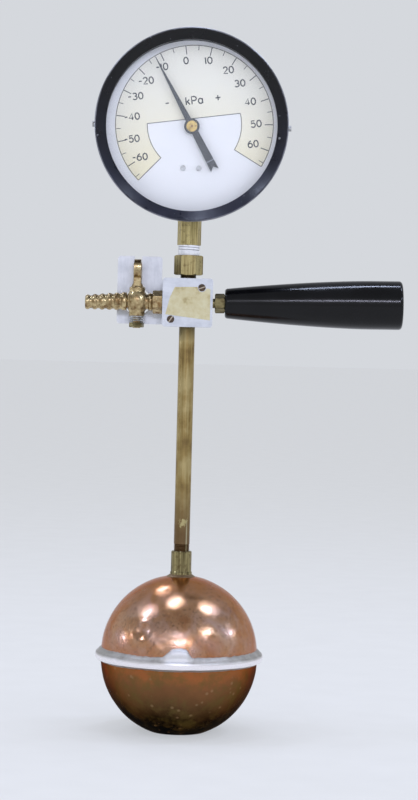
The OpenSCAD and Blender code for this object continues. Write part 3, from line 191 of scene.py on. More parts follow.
# Each dent: degrees right of the front, degrees above the seam, radius, depth and raised edge
upper_dents = [(-29, 21, 5.4, 1.3, 0.35), (-22, 56, 5, 0.1, 0.1), (-4, 47, 6, 0.13, 0.1),
    (31, 42, 8, 0.12, 0.1), (28, 15, 4.5, 0.26, 0.1), (-36, 41, 7, 0.14, 0.1),
    (-12, 13, 3.2, 0.22, 0.1), (-22, 11, 2.6, 0.16, 0.1), (58, 38, 9, 0.15, 0.1),
    (120, 30, 8, 0.4, 0.2), (165, 52, 10, 0.4, 0.1), (-110, 25, 7, 0.35, 0.2), (-150, 40, 9, 0.35, 0.1)]
lower_dents = [(-35, 28, 12, 0.25, 0.1), (25, 40, 14, 0.3, 0.1), (140, 30, 12, 0.3, 0.1),
    (-120, 45, 10, 0.25, 0.1)]


def direction(azimuth, height):
    """Unit vector at degrees right of the front and degrees above the seam."""
    a, h = math.radians(azimuth), math.radians(height)
    return Vector((math.sin(a) * math.cos(h), -math.cos(a) * math.cos(h), math.sin(h)))


def dented(way, dents, seed):
    """How far the sheet stands off a true sphere in a direction: knocks and a slow unevenness."""
    depth = 0.0
    for azimuth, height, radius, deep, edge in dents:
        off = way.angle(direction(azimuth, height)) * ball_r / (radius * mm)
        if off < 2.2:
            depth += deep * mm * (math.exp(-1.6 * off ** 2.4) - edge * math.exp(-8 * (off - 1.15) ** 2))
    slow = 0.17 * noise.noise(way * 3.1 + Vector((seed, 0, 0))) + 0.05 * noise.noise(way * 8)
    return slow * mm - depth


def revolved(name, rows, material, turns):
    """A closed mesh from rows of points, each row a ring; rows(turn) gives one ring's profile."""
    mesh = bpy.data.meshes.new(name)
    profiles = [rows(2 * math.pi * i / turns) for i in range(turns)]
    count = len(profiles[0])
    points = [p for profile in profiles for p in profile]
    faces = []
    for i in range(turns):
        j = (i + 1) % turns
        for k in range(count):
            m = (k + 1) % count
            faces.append((i * count + k, j * count + k, j * count + m, i * count + m))
    mesh.from_pydata(points, [], faces)
    mesh.materials.append(material)
    form = bmesh.new()
    form.from_mesh(mesh)
    bmesh.ops.remove_doubles(form, verts=form.verts, dist=1e-6)
    bmesh.ops.recalc_face_normals(form, faces=form.faces)
    form.to_mesh(mesh)
    form.free()
    mesh.shade_smooth()
    obj = bpy.data.objects.new(name, mesh)
    bpy.context.scene.collection.objects.link(obj)
    return obj


def hemisphere(name, material, sign, end_r, floor_z, dents, seed):
    """One drawn hemisphere with its turned-out lip; the lower one has a flat foot."""
    centre = seam_z + sign * seam_straight
    last = math.acos(end_r / ball_r)
    outer_steps, inner_steps = 90, 30

    def rows(turn):
        out = Vector((math.sin(turn), -math.cos(turn), 0))
        ring = []

        def at(height, radius):
            way = Vector((out.x * math.cos(height), out.y * math.cos(height), math.sin(height)))
            calm = min(1.0, height / 0.12) * min(1.0, max(0.0, (last - height) / 0.08))
            r = radius + calm * dented(way, dents, seed)
            ring.append(Vector((way.x * r, way.y * r, centre + sign * way.z * r)))

        lip = sign * 0.9 * mm
        for r, z in ((ball_r + ball_lip, seam_z), (ball_r + ball_lip, seam_z + lip), (ball_r, seam_z + lip)):
            ring.append(Vector((out.x * r, out.y * r, z)))
        for i in range(outer_steps + 1):
            at(last * i / outer_steps, ball_r)
        if sign < 0:
            ring.extend((Vector((0, 0, floor_z)), Vector((0, 0, floor_z + ball_wall))))
        for i in range(inner_steps, -1, -1):
            at(last * i / inner_steps, ball_r - ball_wall)
        r = ball_r - ball_wall
        ring.append(Vector((out.x * r, out.y * r, seam_z)))
        return ring

    return revolved(name, rows, material, 300)


def rubbed_copper():
    """Rubbed copper sheet: tan and rosy clouds, browner at the top, with greyish lilac stains."""
    material, tree, place, output = new_material("rubbed copper sheet")
    clouds = add(tree, "ShaderNodeTexNoise", {"Scale": 34.0, "Detail": 7.0, "Roughness": 0.6},
        {"Vector": place})
    tone = add(tree, "ShaderNodeValToRGB", {"stops": [(0.3, linear("#a56a42")), (0.44, linear("#b98a64")),
        (0.56, linear("#c39d80")), (0.7, linear("#b27a50"))]}, {"Fac": clouds.outputs["Fac"]})
    stains = add(tree, "ShaderNodeTexNoise", {"Scale": 62.0, "Detail": 5.0, "Distortion": 0.8},
        {"Vector": place})
    lilac = add(tree, "ShaderNodeMapRange", {"From Min": 0.42, "From Max": 0.72, "To Max": 0.5},
        {"Value": stains.outputs["Fac"]})
    lilac_tone = add(tree, "ShaderNodeMix", {"data_type": "RGBA", 7: linear("#b9a6ab")},
        {0: lilac.outputs[0], 6: tone.outputs["Color"]})
    height = add(tree, "ShaderNodeSeparateXYZ", None, {0: place})
    ragged = add(tree, "ShaderNodeMath", {"operation": "MULTIPLY_ADD", 1: 0.03},
        {0: clouds.outputs["Fac"], 2: height.outputs["Z"]})
    top = add(tree, "ShaderNodeMapRange", {"From Min": 0.094, "From Max": 0.118, "To Max": 0.8},
        {"Value": ragged.outputs[0]})
    browned = add(tree, "ShaderNodeMix", {"data_type": "RGBA", 7: linear("#c98848")},
        {0: top.outputs[0], 6: lilac_tone.outputs[2]})
    low = add(tree, "ShaderNodeMapRange", {"From Min": 0.084, "From Max": 0.060, "To Max": 0.7},
        {"Value": ragged.outputs[0]})
    rusty = add(tree, "ShaderNodeMix", {"data_type": "RGBA", 7: linear("#b26d42")},
        {0: low.outputs[0], 6: browned.outputs[2]})
    specks = add(tree, "ShaderNodeTexNoise", {"Scale": 480.0, "Detail": 5.0}, {"Vector": place})
    speck_mask = add(tree, "ShaderNodeMapRange", {"From Min": 0.54, "From Max": 0.74, "To Max": 0.55},
        {"Value": specks.outputs["Fac"]})
    spotted = add(tree, "ShaderNodeMix", {"data_type": "RGBA", 7: linear("#7b563e")},
        {0: speck_mask.outputs[0], 6: rusty.outputs[2]})
    shine = add(tree, "ShaderNodeMapRange", {"From Min": 0.3, "From Max": 0.7, "To Min": 0.17,
        "To Max": 0.28}, {"Value": stains.outputs["Fac"]})
    ripples = add(tree, "ShaderNodeTexNoise", {"Scale": 230.0, "Detail": 6.0, "Roughness": 0.7},
        {"Vector": place})
    uneven = add(tree, "ShaderNodeBump", {"Strength": 0.5, "Distance": 0.0003},
        {"Height": ripples.outputs["Fac"]})
    # The film of tarnish over the metal gives each lamp a small white core
    shader = add(tree, "ShaderNodeBsdfPrincipled", {"Metallic": 1.0, "Specular Tint":
        linear("#d09068"), "Coat Weight": 0.6, "Coat Roughness": 0.1}, {"Base Color": spotted.outputs[2], "Roughness": shine.outputs[0],
        "Normal": uneven.outputs[0]})
    tree.links.new(shader.outputs[0], output.inputs[0])
    return material


def stained_copper():
    """Heat-stained copper: orange brown under the seam, olive and dark brown lower down, going near black at the
    foot as painted shade where the ball meets the floor.
    """
    material, tree, place, output = new_material("heat-stained copper sheet with painted foot shade")
    height = add(tree, "ShaderNodeSeparateXYZ", None, {0: place})
    clouds = add(tree, "ShaderNodeTexNoise", {"Scale": 30.0, "Detail": 7.0, "Roughness": 0.65},
        {"Vector": place})
    shifted = add(tree, "ShaderNodeMath", {"operation": "MULTIPLY_ADD", 1: 0.03},
        {0: clouds.outputs["Fac"], 2: height.outputs["Z"]})
    level = add(tree, "ShaderNodeMapRange", {"From Min": 0.016, "From Max": 0.062},
        {"Value": shifted.outputs[0]})
    # The lowest stops are painted shade: the copper turns near black towards the foot, where the ball meets the
    # floor.
    tone = add(tree, "ShaderNodeValToRGB", {"stops": [(0.0, linear("#0d0905")), (0.25, linear("#2f2415")),
        (0.5, linear("#64492f")), (0.75, linear("#805739")), (0.9, linear("#9d613a")),
        (1.0, linear("#a06038"))]}, {"Fac": level.outputs[0]})
    olive = add(tree, "ShaderNodeTexNoise", {"Scale": 85.0, "Detail": 6.0, "Roughness": 0.7},
        {"Vector": place})
    olive_mask = add(tree, "ShaderNodeMapRange", {"From Min": 0.45, "From Max": 0.62, "To Max": 0.6},
        {"Value": olive.outputs["Fac"]})
    spotted = add(tree, "ShaderNodeMix", {"data_type": "RGBA", 7: linear("#6a5a34")},
        {0: olive_mask.outputs[0], 6: tone.outputs["Color"]})
    drops = add(tree, "ShaderNodeTexVoronoi", {"Scale": 150.0}, {"Vector": place})
    drop_mask = add(tree, "ShaderNodeMapRange", {"From Min": 0.1, "From Max": 0.2, "To Min": 0.35,
        "To Max": 0.0}, {"Value": drops.outputs["Distance"]})
    dotted = add(tree, "ShaderNodeMix", {"data_type": "RGBA", 7: linear("#a98a66")},
        {0: drop_mask.outputs[0], 6: spotted.outputs[2]})
    grain = add(tree, "ShaderNodeTexNoise", {"Scale": 700.0, "Detail": 3.0}, {"Vector": place})
    uneven = add(tree, "ShaderNodeBump", {"Strength": 0.15, "Distance": 0.0002},
        {"Height": grain.outputs["Fac"]})
    shader = add(tree, "ShaderNodeBsdfPrincipled", {"Metallic": 0.95, "Roughness": 0.4, "Specular Tint": linear("#70492c")},
        {"Base Color": dotted.outputs[2], "Normal": uneven.outputs[0]})
    tree.links.new(shader.outputs[0], output.inputs[0])
    return material


hole_r, foot_r = 5.55 * mm, 18 * mm
upper_ball = hemisphere("dented_upper_hemisphere", rubbed_copper(), 1, hole_r, 0, upper_dents, 3.0)
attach(upper_ball, "root")
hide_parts("upper_hemisphere")
lower_ball = hemisphere("dented_lower_hemisphere", stained_copper(), -1, foot_r,
    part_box("lower_hemisphere")[0].z, lower_dents, 7.0)
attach(lower_ball, "root")
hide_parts("lower_hemisphere")


def dress(names, material):
    """Gives construction nodes their finish."""
    for name in names:
        mesh = nodes[name].data
        mesh.materials.clear()
        mesh.materials.append(material)


# Soldered seam.
# Soft solder run round the two lips: a rim that hands have rubbed smooth, with a painted highlight on its
# lower half, a slope of solder above and below it, and a thick patch over a leak at the front.
bead_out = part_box("seam_solder")[1].x


def soft_solder(name, dark, light, rubbed_from):
    """Soft solder: matt grey as it froze, smooth outside a radius where it is rubbed, and there painted near white
    on the rim's lower half, partly bright rubbed metal and partly painted highlight.
    """
    material, tree, place, output = new_material(name)
    clouds = add(tree, "ShaderNodeTexNoise", {"Scale": 130.0, "Detail": 6.0, "Roughness": 0.6},
        {"Vector": place})
    tone = add(tree, "ShaderNodeValToRGB", {"stops": [(0.33, linear(dark)), (0.65, linear(light))]},
        {"Fac": clouds.outputs["Fac"]})
    level = add(tree, "ShaderNodeVectorMath", {"operation": "MULTIPLY", 1: (1.0, 1.0, 0.0)}, {0: place})
    radius = add(tree, "ShaderNodeVectorMath", {"operation": "LENGTH"}, {0: level.outputs[0]})
    ragged = add(tree, "ShaderNodeMath", {"operation": "MULTIPLY_ADD", 1: 0.0008},
        {0: clouds.outputs["Fac"], 2: radius.outputs["Value"]})
    rubbed = add(tree, "ShaderNodeMapRange", {"From Min": rubbed_from, "From Max": rubbed_from + 0.5 * mm},
        {"Value": ragged.outputs[0]})
    height = add(tree, "ShaderNodeSeparateXYZ", None, {0: place})
    under = add(tree, "ShaderNodeMapRange", {"From Min": seam_z + 0.4 * mm, "From Max": seam_z + 2.2 * mm,
        "To Min": 1.0, "To Max": 0.0}, {"Value": height.outputs["Z"]})
    worn = add(tree, "ShaderNodeMath", {"operation": "MULTIPLY"}, {0: rubbed.outputs[0], 1: under.outputs[0]})
    # The patch at the front is newer and lighter than the run solder beside it
    patch_place = add(tree, "ShaderNodeMapping", {"Location": (0.7, 51.0, -1000 * seam_z - 5.5),
        "Scale": (1000.0, 1000.0, 1000.0)}, {"Vector": place})
    patch_far = add(tree, "ShaderNodeVectorMath", {"operation": "LENGTH"}, {0: patch_place.outputs[0]})
    newer = add(tree, "ShaderNodeMapRange", {"From Min": 11.0, "From Max": 6.0, "To Max": 0.6},
        {"Value": patch_far.outputs["Value"]})
    patched = add(tree, "ShaderNodeMix", {"data_type": "RGBA", 7: linear("#efeff3")},
        {0: newer.outputs[0], 6: tone.outputs["Color"]})
    # Painted highlight: the rubbed rim's lower half is painted near white, partly for bright rubbed solder and
    # partly for the lamps' reflection.
    bright = add(tree, "ShaderNodeMix", {"data_type": "RGBA", 7: linear("#f7f3f6")},
        {0: worn.outputs[0], 6: patched.outputs[2]})
    shine = add(tree, "ShaderNodeMapRange", {"To Min": 0.5, "To Max": 0.27}, {"Value": worn.outputs[0]})
    lumps = add(tree, "ShaderNodeTexNoise", {"Scale": 380.0, "Detail": 5.0}, {"Vector": place})
    uneven = add(tree, "ShaderNodeBump", {"Strength": 0.35, "Distance": 0.0003},
        {"Height": lumps.outputs["Fac"]})
    shader = add(tree, "ShaderNodeBsdfPrincipled", {"Metallic": 0.9}, {"Base Color": bright.outputs[2],
        "Roughness": shine.outputs[0], "Normal": uneven.outputs[0]})
    tree.links.new(shader.outputs[0], output.inputs[0])
    return material


solder = soft_solder("soft solder", "#9c9891", "#bebbb7", bead_out - 0.75 * mm)


def bead_rows(turn):
    """The solder's profile at one place round the seam."""
    out = Vector((math.sin(turn), -math.cos(turn), 0))
    away = math.degrees(math.atan2(math.sin(turn), math.cos(turn)))
    wobble = noise.noise(out * 4)
    fine = noise.noise(out * 19 + Vector((0, 0, 5)))
    left, right = min(1, max(0, (away + 13.5) / 10)), min(1, max(0, (11 - away) / 5.5))
    patch = (left * right) ** 2 * (3 - 2 * left * right)
    rise = (5.3 + 0.5 * wobble + 0.35 * fine + (5.9 - 0.02 * (away - 1.5) ** 2) * patch) * mm
    drop = (3.8 + 0.4 * wobble + 0.2 * fine) * mm
    corner_up, corner_down = (2.7 + 0.15 * fine) * mm, -2.5 * mm
    reach = bead_out - ball_r + (0.12 * wobble + 0.05 * fine - 0.16) * mm
    corner = reach - 1.5 * mm
    ring = []

    def at(height, stand):
        centre = math.copysign(min(abs(height), seam_straight), height)
        tilt = math.asin((height - centre) / ball_r)
        r = ball_r * math.cos(tilt) + stand * math.cos(tilt)
        ring.append(Vector((out.x * r, out.y * r, seam_z + height + stand * math.sin(tilt))))

    slope_steps = 16
    for i in range(slope_steps):
        t = i / slope_steps
        slope = corner * (1 - (1 - t) ** 1.6)
        lump = (1.7 * math.sin(math.pi / 2 * min(1, 2.6 * t)) + 0.3 * fine) * mm * (1 - t ** 3)
        at(rise + (corner_up - rise) * t, slope + patch * max(0, lump - 0.55 * slope))
    rim_steps = 14
    for i in range(rim_steps + 1):
        a = math.pi * i / rim_steps
        height = (corner_up + corner_down) / 2 + (corner_up - corner_down) / 2 * math.cos(a)
        at(height, corner + (reach - corner) * math.sin(a) ** 0.75)
    for i in range(1, 8):
        t = i / 7
        at(corner_down + (-drop - corner_down) * t, corner * (1 - t) ** 1.4 + 0.06 * mm)
    at(-drop, -0.3 * mm)
    at(rise, -0.3 * mm)
    return ring


seam_bead = revolved("run_solder_seam", bead_rows, solder, 480)
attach(seam_bead, "root")
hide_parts("seam_solder", "solder_patch")
dress(["collar_solder"], soft_solder("soft solder under flux", "#7d684d", "#a08a6c", 1.0))


# Brass pieces.
# Turned and drawn brass that has lost its lacquer: dull gold, brown in its pits, with long
# streaks along drawn bar, and with shade painted in the gap over the block.
def aged_brass(name, light, dark, roughness, streak, spot_scale=140.0, shade_z=None):
    """Aged brass: light and dark tones, streaks along drawn bar, painted shade at one height."""
    material, tree, place, output = new_material(name)
    stretch = add(tree, "ShaderNodeMapping", {"Scale": streak}, {"Vector": place})
    clouds = add(tree, "ShaderNodeTexNoise", {"Scale": spot_scale, "Detail": 6.0, "Roughness": 0.6},
        {"Vector": stretch.outputs[0]})
    tone = add(tree, "ShaderNodeValToRGB", {"stops": [(0.36, linear(dark)), (0.6, linear(light))]},
        {"Fac": clouds.outputs["Fac"]})
    pits = add(tree, "ShaderNodeTexNoise", {"Scale": 420.0, "Detail": 5.0}, {"Vector": place})
    pit_mask = add(tree, "ShaderNodeMapRange", {"From Min": 0.54, "From Max": 0.72, "To Max": 0.6},
        {"Value": pits.outputs["Fac"]})
    pitted = add(tree, "ShaderNodeMix", {"data_type": "RGBA", 7: linear("#4f3c28")},
        {0: pit_mask.outputs[0], 6: tone.outputs["Color"]})
    colour = pitted.outputs[2]
    # Painted shade: within a millimetre of this height the brass is painted dark brown, for the gap over the block.
    if shade_z:
        height = add(tree, "ShaderNodeSeparateXYZ", None, {0: place})
        off = add(tree, "ShaderNodeMath", {"operation": "COMPARE", 1: shade_z, 2: 1.0 * mm},
            {0: height.outputs["Z"]})
        colour = add(tree, "ShaderNodeMix", {"data_type": "RGBA", 7: linear("#2e2518")},
            {0: off.outputs[0], 6: colour}).outputs[2]
    shine = add(tree, "ShaderNodeMapRange", {"From Min": 0.3, "From Max": 0.7, "To Min": roughness + 0.1,
        "To Max": roughness - 0.08}, {"Value": clouds.outputs["Fac"]})
    uneven = add(tree, "ShaderNodeBump", {"Strength": 0.2, "Distance": 0.0002},
        {"Height": clouds.outputs["Fac"]})
    shader = add(tree, "ShaderNodeBsdfPrincipled", {"Metallic": 1.0}, {
        "Base Color": colour, "Roughness": shine.outputs[0], "Normal": uneven.outputs[0]})
    tree.links.new(shader.outputs[0], output.inputs[0])
    return material


adapter_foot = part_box("manifold_block")[1].z + 1.1 * mm
dress(["pipe_adapter"], aged_brass("aged drawn brass bar", "#baac7a", "#7d6e47", 0.3, (1.0, 1.0, 0.03), 700.0,
    adapter_foot))
dress(["gauge_socket"], aged_brass("aged drawn brass octagon", "#d0c18b", "#8d7d50", 0.3, (1.0, 1.0, 0.03), 700.0))
dress(["stem_collar"], aged_brass("heat-dulled brass bar", "#a2966b", "#51472d", 0.32, (1.0, 1.0, 0.03), 600.0))
dress(["plug_nut", "handle_stud", "handle_lock_nut", "handle_insert"], aged_brass("aged turned brass",
    "#877d59", "#4f472f", 0.34, (0.3, 1.0, 1.0), 400.0))
clean_brass = aged_brass("clean sheet brass", "#c9b06a", "#b39755", 0.3, (1.0, 1.0, 1.0))
dress(["dial_posts", "pointer_hub", "hairspring_stud", "front_movement_plate", "back_movement_plate",
    "movement_pillars", "sector_gear", "link", "tube_tip"], clean_brass)
dress(["bourdon_tube", "hairspring"], aged_brass("phosphor bronze strip", "#b98a55", "#96683c", 0.3,
    (1.0, 1.0, 1.0)))
cast_brass = aged_brass("aged cast brass", "#cbb88c", "#806441", 0.3, (1.0, 1.0, 1.0), 230.0)


cock_low, cock_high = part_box("stopcock_body")
tail_root = -39.6 * mm
tail_length = tail_root - cock_low.x
tail_z = (cock_low.z + cock_high.z) / 2


def cast_copy(name, source):
    """A cast piece: a construction node with its edges softened and its skin a little uneven."""
    form = bmesh.new()
    form.from_mesh(nodes[source].data)
    bmesh.ops.remove_doubles(form, verts=form.verts, dist=1e-6)
    mesh = bpy.data.meshes.new(name)
    form.to_mesh(mesh)
    form.free()
    obj = bpy.data.objects.new(name, mesh)
    bpy.context.scene.collection.objects.link(obj)
    fine = obj.modifiers.new("even_faces", "REMESH")
    fine.mode = "VOXEL"
    fine.voxel_size = 0.3 * mm
    soft = obj.modifiers.new("soft_edges", "SMOOTH")
    soft.factor = 0.5
    soft.iterations = 3
    shown = obj.evaluated_get(bpy.context.evaluated_depsgraph_get())
    mesh = bpy.data.meshes.new_from_object(shown)
    obj.modifiers.clear()
    obj.data = mesh
    for vertex, normal in zip(mesh.vertices, [v.normal.copy() for v in mesh.vertices]):
        vertex.co += normal * noise.noise(vertex.co * 400) * 0.04 * mm
    # The tail's ridges grow shallow and wide towards the barrel, and it droops a little to its tip
    for vertex in mesh.vertices:
        along = (tail_root - vertex.co.x) / tail_length
        if along > 0:
            root = 1 - min(1, along)
            off = Vector((0, vertex.co.y, vertex.co.z - tail_z))
            outside = min(1, max(0, (off.length - 2.3 * mm) / (0.6 * mm)))
            crest = (4.3 + 0.7 * root) * mm
            wanted = crest + (0.3 + 0.6 * root) * mm - (crest - off.length) * (0.75 - 0.4 * root)
            if off.length > 0:
                off *= 1 + outside * (wanted / off.length - 1)
            vertex.co.x = max(vertex.co.x, cock_low.x)
            vertex.co.y = off.y
            vertex.co.z = tail_z + off.z - 1.1 * mm * min(1, along) ** 1.3
    mesh.materials.clear()
    mesh.materials.append(cast_brass)
    mesh.shade_smooth()
    return obj


# Stem.
# Drawn brass pipe, screwed into the collar and the block. The solderer's flame has browned its foot
# and left a splash there.
def drawn_pipe_brass():
    """Drawn pipe: long streaks, brown and grey where the flame reached it, one pale splash."""
    material, tree, place, output = new_material("aged drawn brass pipe")
    stretch = add(tree, "ShaderNodeMapping", {"Scale": (1.0, 1.0, 0.03)}, {"Vector": place})
    streaks = add(tree, "ShaderNodeTexNoise", {"Scale": 900.0, "Detail": 4.0}, {"Vector": stretch.outputs[0]})
    clouds = add(tree, "ShaderNodeTexNoise", {"Scale": 70.0, "Detail": 6.0}, {"Vector": place})
    mixed_tone = add(tree, "ShaderNodeMath", {"operation": "MULTIPLY_ADD", 1: 0.5},
        {0: streaks.outputs["Fac"], 2: clouds.outputs["Fac"]})
    tone = add(tree, "ShaderNodeValToRGB", {"stops": [(0.5, linear("#735e3c")), (0.68, linear("#9a8454")),
        (0.88, linear("#b4a273"))]}, {"Fac": mixed_tone.outputs[0]})
    height = add(tree, "ShaderNodeSeparateXYZ", None, {0: place})
    ragged = add(tree, "ShaderNodeMath", {"operation": "MULTIPLY_ADD", 1: 0.016},
        {0: clouds.outputs["Fac"], 2: height.outputs["Z"]})
    burnt = add(tree, "ShaderNodeMapRange", {"From Min": 0.136, "From Max": 0.172, "To Min": 0.9,
        "To Max": 0.0}, {"Value": ragged.outputs[0]})
    browned = add(tree, "ShaderNodeMix", {"data_type": "RGBA", 7: linear("#6b543c")},
        {0: burnt.outputs[0], 6: tone.outputs["Color"]})
    splash_place = add(tree, "ShaderNodeMapping", {"vector_type": "POINT", "Location": (-0.4, 5.0, -136.6),
        "Scale": (1000.0, 1000.0, 1000.0)}, {"Vector": place})
    splash_far = add(tree, "ShaderNodeVectorMath", {"operation": "LENGTH"}, {0: splash_place.outputs[0]})
    torn = add(tree, "ShaderNodeTexNoise", {"Scale": 420.0, "Detail": 4.0}, {"Vector": place})
    splash_edge = add(tree, "ShaderNodeMath", {"operation": "MULTIPLY_ADD", 1: 9.0},
        {0: torn.outputs["Fac"], 2: splash_far.outputs["Value"]})
    splash_mask = add(tree, "ShaderNodeMapRange", {"From Min": 6.2, "From Max": 7.4, "To Min": 0.6,
        "To Max": 0.0}, {"Value": splash_edge.outputs[0]})
    splashed = add(tree, "ShaderNodeMix", {"data_type": "RGBA", 7: linear("#cfc48f")},
        {0: splash_mask.outputs[0], 6: browned.outputs[2]})
    # A thin run of solder beside the splash, and painted shadow close under the block
    run_side = add(tree, "ShaderNodeMath", {"operation": "COMPARE", 1: 3.0 * mm, 2: 0.4 * mm},
        {0: height.outputs["X"]})
    run_front = add(tree, "ShaderNodeMath", {"operation": "LESS_THAN", 1: 0.0}, {0: height.outputs["Y"]})
    run_end = add(tree, "ShaderNodeMapRange", {"From Min": 0.148, "From Max": 0.140, "To Max": 0.55},
        {"Value": ragged.outputs[0]})
    run = add(tree, "ShaderNodeMath", {"operation": "MULTIPLY"}, {0: run_side.outputs[0], 1: run_front.outputs[0]})
    run_mask = add(tree, "ShaderNodeMath", {"operation": "MULTIPLY"}, {0: run.outputs[0], 1: run_end.outputs[0]})
    with_run = add(tree, "ShaderNodeMix", {"data_type": "RGBA", 7: linear("#c9c3a4")},
        {0: run_mask.outputs[0], 6: splashed.outputs[2]})
    # Painted shadow: the pipe is painted dark olive over the last 8 mm under the block.
    under_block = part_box("manifold_block")[0].z + 8 * mm
    block_shadow = add(tree, "ShaderNodeMapRange", {"From Min": under_block - 8 * mm, "From Max": under_block,
        "To Max": 0.75}, {"Value": ragged.outputs[0]})
    shadowed_pipe = add(tree, "ShaderNodeMix", {"data_type": "RGBA", 7: linear("#4b4632")},
        {0: block_shadow.outputs[0], 6: with_run.outputs[2]})
    uneven = add(tree, "ShaderNodeBump", {"Strength": 0.1, "Distance": 0.0002},
        {"Height": streaks.outputs["Fac"]})
    shader = add(tree, "ShaderNodeBsdfPrincipled", {"Metallic": 1.0, "Roughness": 0.36},
        {"Base Color": shadowed_pipe.outputs[2], "Normal": uneven.outputs[0]})
    tree.links.new(shader.outputs[0], output.inputs[0])
    return material


dress(["stem_pipe"], drawn_pipe_brass())


# Stopcock.
# A cast brass body and a ground plug whose thumb piece is rubbed; the plug turns, the body is
# screwed into the block.
cock_body = cast_copy("cast_stopcock_body", "stopcock_body")
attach(cock_body, "root")
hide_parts("stopcock_body")
dress(["stopcock_plug"], cast_brass)


# Block and guard.
# A sawn and filed block of aluminium, and a guard of rolled sheet behind the stopcock.
def filed_aluminium(name, light, dark, roughness, stretch_scale):
    """Filed aluminium: bluish white with fine marks along the strokes."""
    material, tree, place, output = new_material(name)
    stretch = add(tree, "ShaderNodeMapping", {"Scale": stretch_scale}, {"Vector": place})
    marks = add(tree, "ShaderNodeTexNoise", {"Scale": 900.0, "Detail": 5.0, "Roughness": 0.7},
        {"Vector": stretch.outputs[0]})
    clouds = add(tree, "ShaderNodeTexNoise", {"Scale": 110.0, "Detail": 5.0}, {"Vector": place})
    both = add(tree, "ShaderNodeMath", {"operation": "MULTIPLY_ADD", 1: 0.5},
        {0: marks.outputs["Fac"], 2: clouds.outputs["Fac"]})
    tone = add(tree, "ShaderNodeValToRGB", {"stops": [(0.5, linear(dark)), (0.9, linear(light))]},
        {"Fac": both.outputs[0]})
    uneven = add(tree, "ShaderNodeBump", {"Strength": 0.12, "Distance": 0.0002},
        {"Height": marks.outputs["Fac"]})
    shader = add(tree, "ShaderNodeBsdfPrincipled", {"Metallic": 0.8, "Roughness": roughness},
        {"Base Color": tone.outputs["Color"], "Normal": uneven.outputs[0]})
    tree.links.new(shader.outputs[0], output.inputs[0])
    return material


dress(["manifold_block"], filed_aluminium("filed aluminium bar", "#cccfd4", "#b4b8be", 0.4, (0.15, 1.0, 1.0)))
dress(["guard_plate"], filed_aluminium("rolled aluminium sheet", "#d3d5da", "#babdc3", 0.38, (1.0, 1.0, 0.12)))


def dull_steel(name, tone_hex, roughness, slot_y=None):
    """Plated steel gone dull: mottled grey with brown specks, cleaner deep in a slot."""
    material, tree, place, output = new_material(name)
    clouds = add(tree, "ShaderNodeTexNoise", {"Scale": 500.0, "Detail": 5.0}, {"Vector": place})
    rust_mask = add(tree, "ShaderNodeMapRange", {"From Min": 0.5, "From Max": 0.68, "To Max": 0.6},
        {"Value": clouds.outputs["Fac"]})
    colour = add(tree, "ShaderNodeMix", {"data_type": "RGBA", 6: linear(tone_hex), 7: linear("#5b4634")},
        {0: rust_mask.outputs[0]}).outputs[2]
    if slot_y:
        depth = add(tree, "ShaderNodeSeparateXYZ", None, {0: place})
        deep = add(tree, "ShaderNodeMath", {"operation": "GREATER_THAN", 1: slot_y}, {0: depth.outputs["Y"]})
        colour = add(tree, "ShaderNodeMix", {"data_type": "RGBA", 7: linear("#c9bda9")},
            {0: deep.outputs[0], 6: colour}).outputs[2]
    shader = add(tree, "ShaderNodeBsdfPrincipled", {"Metallic": 0.8, "Roughness": roughness},
        {"Base Color": colour})
    tree.links.new(shader.outputs[0], output.inputs[0])
    return material


plated_steel = dull_steel("zinc-plated steel", "#b6b8b8", 0.35)
dress(["block_screws"], dull_steel("brown old steel", "#4d4238", 0.45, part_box("block_screws")[0].y + 0.3 * mm))
dress(["bezel_screws"], plated_steel)
dress(["screw_nuts", "socket_screws", "plug_washer", "dial_screws", "movement_screws", "link_pin",
    "tip_pin", "sector_shaft", "plug_spring"], plated_steel)
dress(["pinion_arbor"], dull_steel("brown arbor steel", "#8a6a3c", 0.4))


# Masking tape.
# A torn piece of crêpe paper tape, yellowed, on the block's face.
def crepe_tape():
    """Crêpe paper tape: matt cream, darker where it is stained, crinkled across."""
    material, tree, place, output = new_material("yellowed crepe paper tape")
    clouds = add(tree, "ShaderNodeTexNoise", {"Scale": 160.0, "Detail": 6.0}, {"Vector": place})
    tone = add(tree, "ShaderNodeValToRGB", {"stops": [(0.3, linear("#a5966a")), (0.42, linear("#bfb48c")),
        (0.66, linear("#cbc5a3"))]},
        {"Fac": clouds.outputs["Fac"]})
    stretch = add(tree, "ShaderNodeMapping", {"Scale": (1.0, 1.0, 0.3)}, {"Vector": place})
    crinkle = add(tree, "ShaderNodeTexNoise", {"Scale": 800.0, "Detail": 4.0}, {"Vector": stretch.outputs[0]})
    uneven = add(tree, "ShaderNodeBump", {"Strength": 0.4, "Distance": 0.0002},
        {"Height": crinkle.outputs["Fac"]})
    shader = add(tree, "ShaderNodeBsdfPrincipled", {"Roughness": 0.7},
        {"Base Color": tone.outputs["Color"], "Normal": uneven.outputs[0]})
    tree.links.new(shader.outputs[0], output.inputs[0])
    return material


